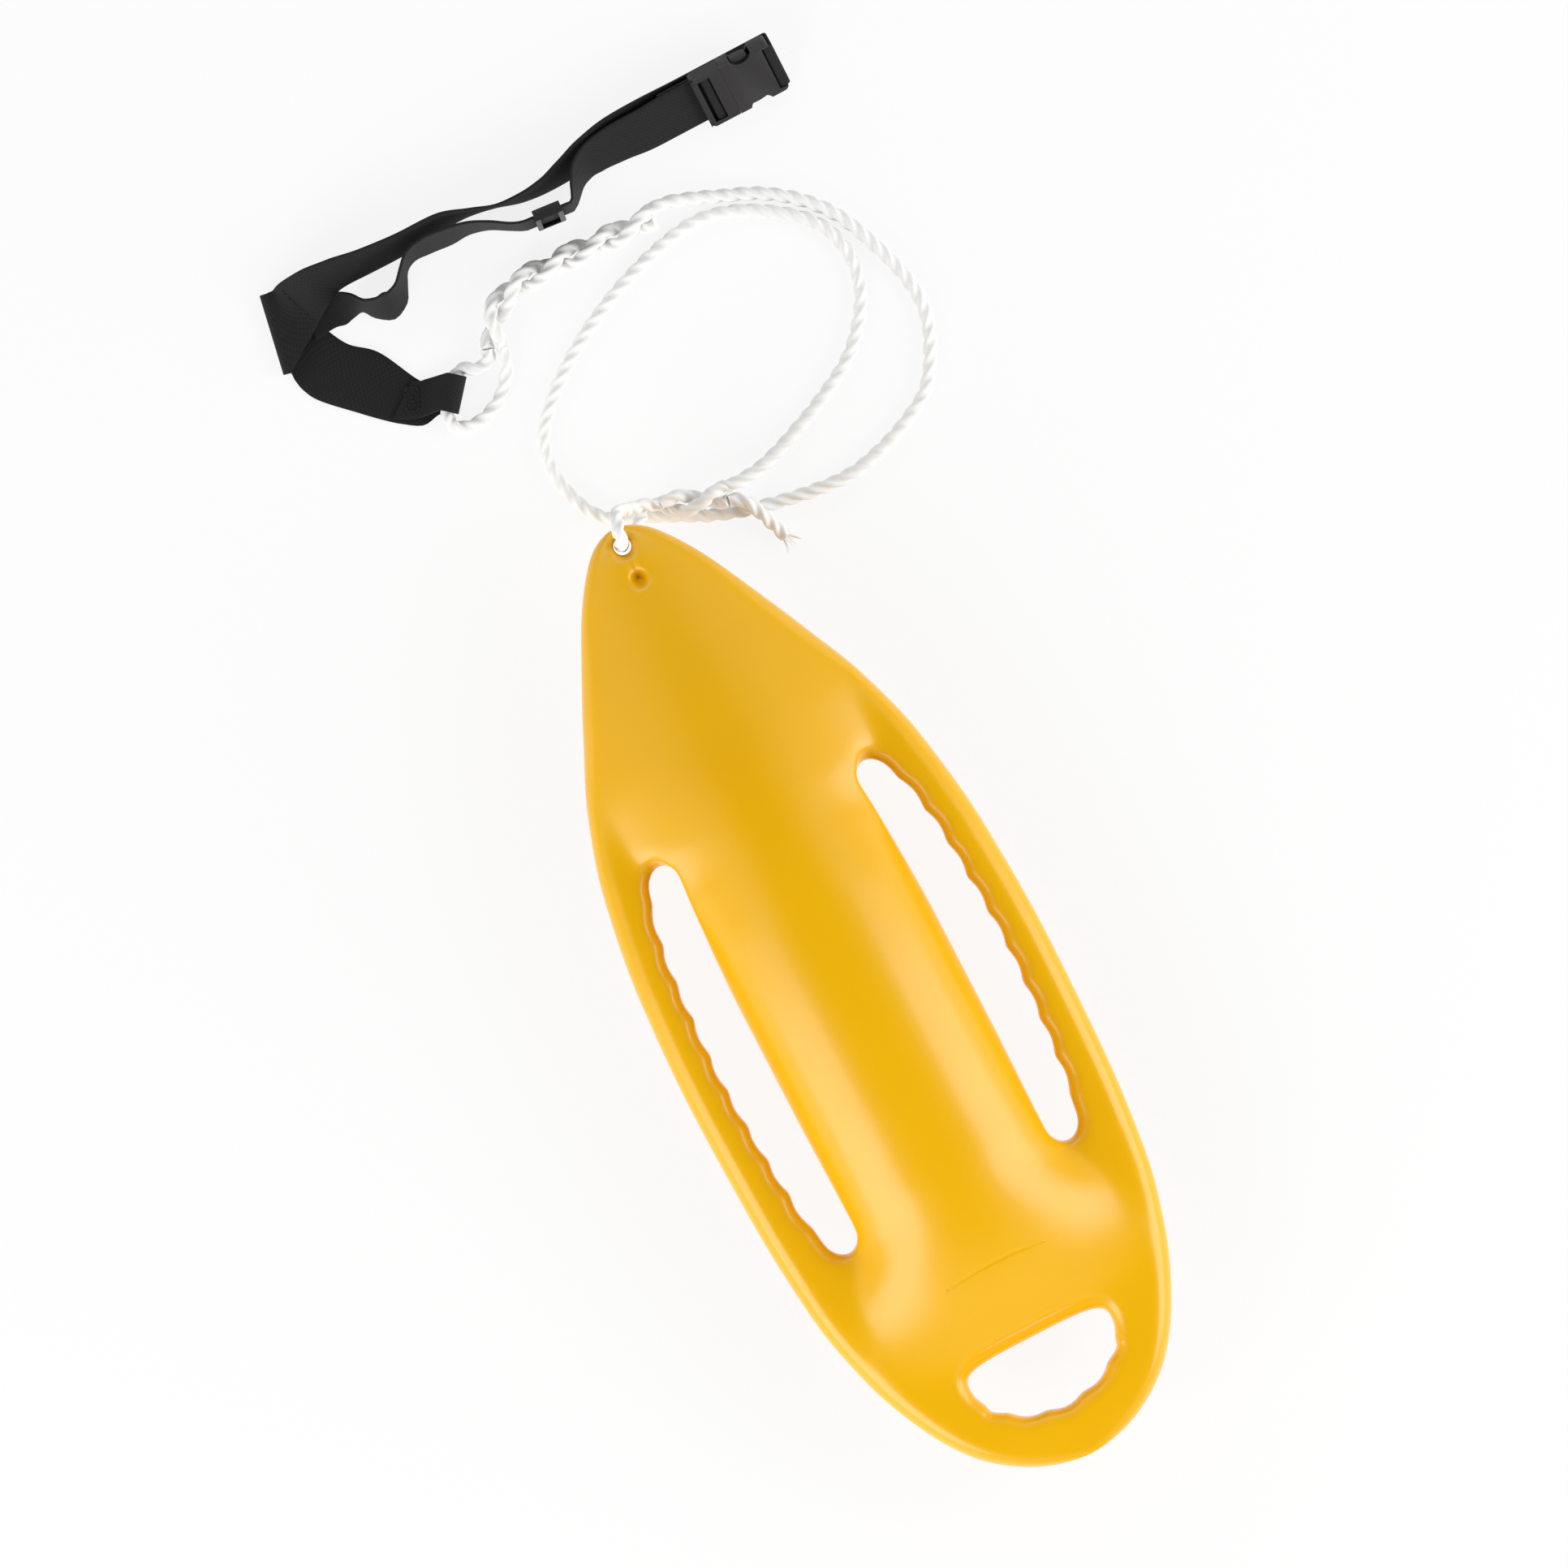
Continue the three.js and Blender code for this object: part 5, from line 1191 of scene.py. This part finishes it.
def sliderBody():
    s = slider
    end, inside = s["length"] / 2, s["half"] - s["rail"]
    return unite(block(-end, end, inside, s["half"], -s["outer"], s["outer"]), [
        bar(-end, -end + s["endBar"], s["half"], s["inner"], s["outer"]),
        bar(end - s["endBar"], end, s["half"], s["inner"], s["outer"]),
        bar(-s["centreBar"] / 2, s["centreBar"] / 2, s["half"], -s["outer"], -s["inner"]),
        block(-end, end, -s["half"], -inside, -s["outer"], s["outer"]),
    ], "triglideSlider")


def sliderPlace():
    straight = [row for row in leaning(adjusterRows) if row[2]]
    along = straight[0][0] - straight[1][0]
    lean = math.asin(straight[0][1].z / (webbing["width"] / 2))
    turn = Matrix.Rotation(math.atan2(along.y, along.x), 4, "Z") @ Matrix.Rotation(lean, 4, "X")
    return Matrix.Translation((straight[0][0] + straight[1][0]) / 2 + strapOrigin) @ turn


setPlastic(sliderBody(), slider["edge"], sliderPlace(), "triglide_slider", "slider")
print("slider moulded")

# sewing

thread = {
    "radius": 0.45 * mm, "stitch": 2.6 * mm, "gap": 0.7 * mm, "sink": 0.1 * mm, "smooth": 60,
    "leadPatch": (9 * mm, 16 * mm), "loopPatch": (18 * mm, 30 * mm), "loopAt": 38.9 * mm,
    "tack": (2.6 * mm, 30 * mm), "tackRuns": 12,
}


def boxWithCross(length, width):
    x, y = length / 2, width / 2
    corners = [(-x, -y), (x, -y), (x, y), (-x, y)]
    runs = list(zip(corners, corners[1:] + corners[:1]))
    return runs + [(corners[0], corners[2]), (corners[1], corners[3])]


def zigzag(width, length):
    count = thread["tackRuns"]
    points = [((-1) ** i * width / 2, length * (i / count - 0.5)) for i in range(count + 1)]
    return list(zip(points, points[1:]))


# stitches, each a long bead that is half sunk in the webbing
def sewn(name, runs, place, node, body):
    deselectAll()
    bpy.ops.mesh.primitive_uv_sphere_add(segments=10, ring_count=8, radius=1)
    pattern = bpy.context.object
    points, faces = [], []
    for start, end in runs:
        a, b = Vector((*start, 0)), Vector((*end, 0))
        count = max(1, round((b - a).length / (thread["stitch"] + thread["gap"])))
        turn = Matrix.Rotation(math.atan2(b.y - a.y, b.x - a.x), 4, "Z")
        half = ((b - a).length / count - thread["gap"]) / 2
        size = Matrix.Diagonal((half, thread["radius"], thread["radius"], 1))
        for i in range(count):
            middle = a.lerp(b, (i + 0.5) / count) + Vector((0, 0, thread["radius"] - thread["sink"]))
            moved = Matrix.Translation(middle) @ turn @ size
            first = len(points)
            points += [moved @ v.co for v in pattern.data.vertices]
            faces += [tuple(first + i for i in f.vertices) for f in pattern.data.polygons]
    bpy.data.objects.remove(pattern)
    obj = meshObject(name, points, faces)
    smoothShade(obj, thread["smooth"])
    obj.data.transform(place)
    setMaterial(obj, blackThread)
    standFor(obj, node, body)


def leadPlace():
    first, last = [lying(row, webRest + layerPitch)[0] for row in (flapRows[0], flapRows[-1])]
    middle = (first + last) / 2 + strapOrigin + Vector((0, 0, webbing["thickness"] / 2))
    turn = Matrix.Rotation(math.atan2(last.y - first.y, last.x - first.x), 4, "Z")
    return Matrix.Translation(middle) @ turn


def tackPlace():
    (ahead, _, _), (centre, half, _) = leaning(shoulderRows)[-2:]
    across = half.normalized()
    along = ahead - centre
    along = (along - across * along.dot(across)).normalized()
    up = along.cross(across).normalized()
    turn = Matrix((along, across, up)).transposed().to_4x4()
    return Matrix.Translation(centre + up * (webbing["thickness"] / 2) + strapOrigin) @ turn


def loopPlace():
    below = Matrix.Translation((thread["loopAt"], 0, wrapOuter - webbing["thickness"] / 2))
    return bucklePlace @ below @ Matrix.Rotation(math.pi, 4, "X")


sewn("leadStitching", boxWithCross(*thread["leadPatch"]), leadPlace(), "lead_stitching", "float")
sewn("junctionStitching", zigzag(*thread["tack"]), tackPlace(), "junction_stitching", "float")
sewn("loopStitching", boxWithCross(*thread["loopPatch"]), loopPlace(), "loop_stitching", "socket")
print("webbing sewn")

# finishes of the pieces that stay as they are

for node, material in (("vent_plug", ventPlastic), ("vent_washer", washerRubber)):
    setMaterial(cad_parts[node], material)

# soft pieces: the tow rope's length and the eyes' first points, lengths and points are worked out here and
# not kept

lineLength(towLine)
for eye, line in ((noseEye, noseEyeLine), (beltEye, beltEyeLine)):
    tuple(line[0])
    lineLength(line)
    [tuple(p) for p in line]

# white floor that lights nothing by itself, a soft lamp on each side and a dim one in front

studio = {
    "lampAway": 2.6, "lampTilt": 65, "lampSize": (2.2, 2.4), "lampWatts": 68, "lampY": -1.15,
    "frontTilt": 62, "frontSize": (2.6, 0.8), "frontWatts": 12, "roomStrength": 0.8,
    "room": [(0, 0.35), (0.4, 0.7), (0.6, 1), (0.74, 0.75), (0.9, 0.05)],
    "floorSize": 60, "floorColour": "f4f4f4", "floorRoughness": 0.9, "floorWhite": 1.0,
    "floorGlow": 0.85, "floorDrop": 0.05 * mm,
}


def addFloor():
    bpy.ops.mesh.primitive_plane_add(size=studio["floorSize"], location=(0, 0, -studio["floorDrop"]))
    floor = bpy.context.object
    floor.name = "floor"
    # matt white paper: it looks plain white, and part of it stays lit by the lamps for the soft shadow
    material, tree, shader = newMaterial("paper floor")
    setInputs(tree, shader, {
        "Base Color": linearColour(studio["floorColour"]), "Roughness": studio["floorRoughness"]})
    white = addNode(tree, "ShaderNodeEmission", {"Strength": studio["floorWhite"]})
    path = addNode(tree, "ShaderNodeLightPath", {})
    seen = path.outputs["Is Camera Ray"]
    for ray in ("Is Glossy Ray", "Is Transmission Ray"):
        seen = addNode(tree, "ShaderNodeMath", {0: seen, 1: path.outputs[ray]},
                       operation="MAXIMUM").outputs[0]
    glow = addNode(tree, "ShaderNodeMath", {0: seen, 1: studio["floorGlow"]}, operation="MULTIPLY")
    mix = addNode(tree, "ShaderNodeMixShader", {
        0: glow.outputs[0], 1: shader.outputs[0], 2: white.outputs[0]})
    tree.links.new(mix.outputs[0], tree.nodes["Material Output"].inputs["Surface"])
    setMaterial(floor, material)


def addLamp(name, size, watts, place, turn):
    data = bpy.data.lights.new(name, "AREA")
    data.shape = "RECTANGLE"
    data.size, data.size_y = size
    data.energy = watts
    lamp = addObject(name, data)
    lamp.location = place
    lamp.rotation_euler = turn


def addLamps():
    away = studio["lampAway"]
    tilt, front = math.radians(studio["lampTilt"]), math.radians(studio["frontTilt"])
    for side in (1, -1):
        addLamp("softLamp", studio["lampSize"], studio["lampWatts"],
                (side * away * math.sin(tilt), studio["lampY"], away * math.cos(tilt)),
                (0, side * tilt, 0))
    addLamp("frontLamp", studio["frontSize"], studio["frontWatts"],
            (0, away * math.sin(front), away * math.cos(front)), (-front, 0, 0))


# a ring of soft light high in the room: the walls are dimmer and the middle of the ceiling is dark
def addRoom():
    world = bpy.data.worlds.new("world")
    scene.world = world
    world.use_nodes = True
    tree = world.node_tree
    coords = addNode(tree, "ShaderNodeTexCoord", {})
    split = addNode(tree, "ShaderNodeSeparateXYZ", {"Vector": coords.outputs["Generated"]})
    ramp = addNode(tree, "ShaderNodeValToRGB", {"Fac": split.outputs["Z"]})
    stops = ramp.color_ramp.elements
    while len(stops) < len(studio["room"]):
        stops.new(0.5)
    for stop, (height, level) in zip(stops, studio["room"]):
        stop.position = height
        stop.color = (level, level, level, 1)
    setInputs(tree, tree.nodes["Background"], {
        "Color": ramp.outputs["Color"], "Strength": studio["roomStrength"]})


addFloor()
addLamps()
addRoom()
scene.view_settings.view_transform = "Standard"
print("studio set")
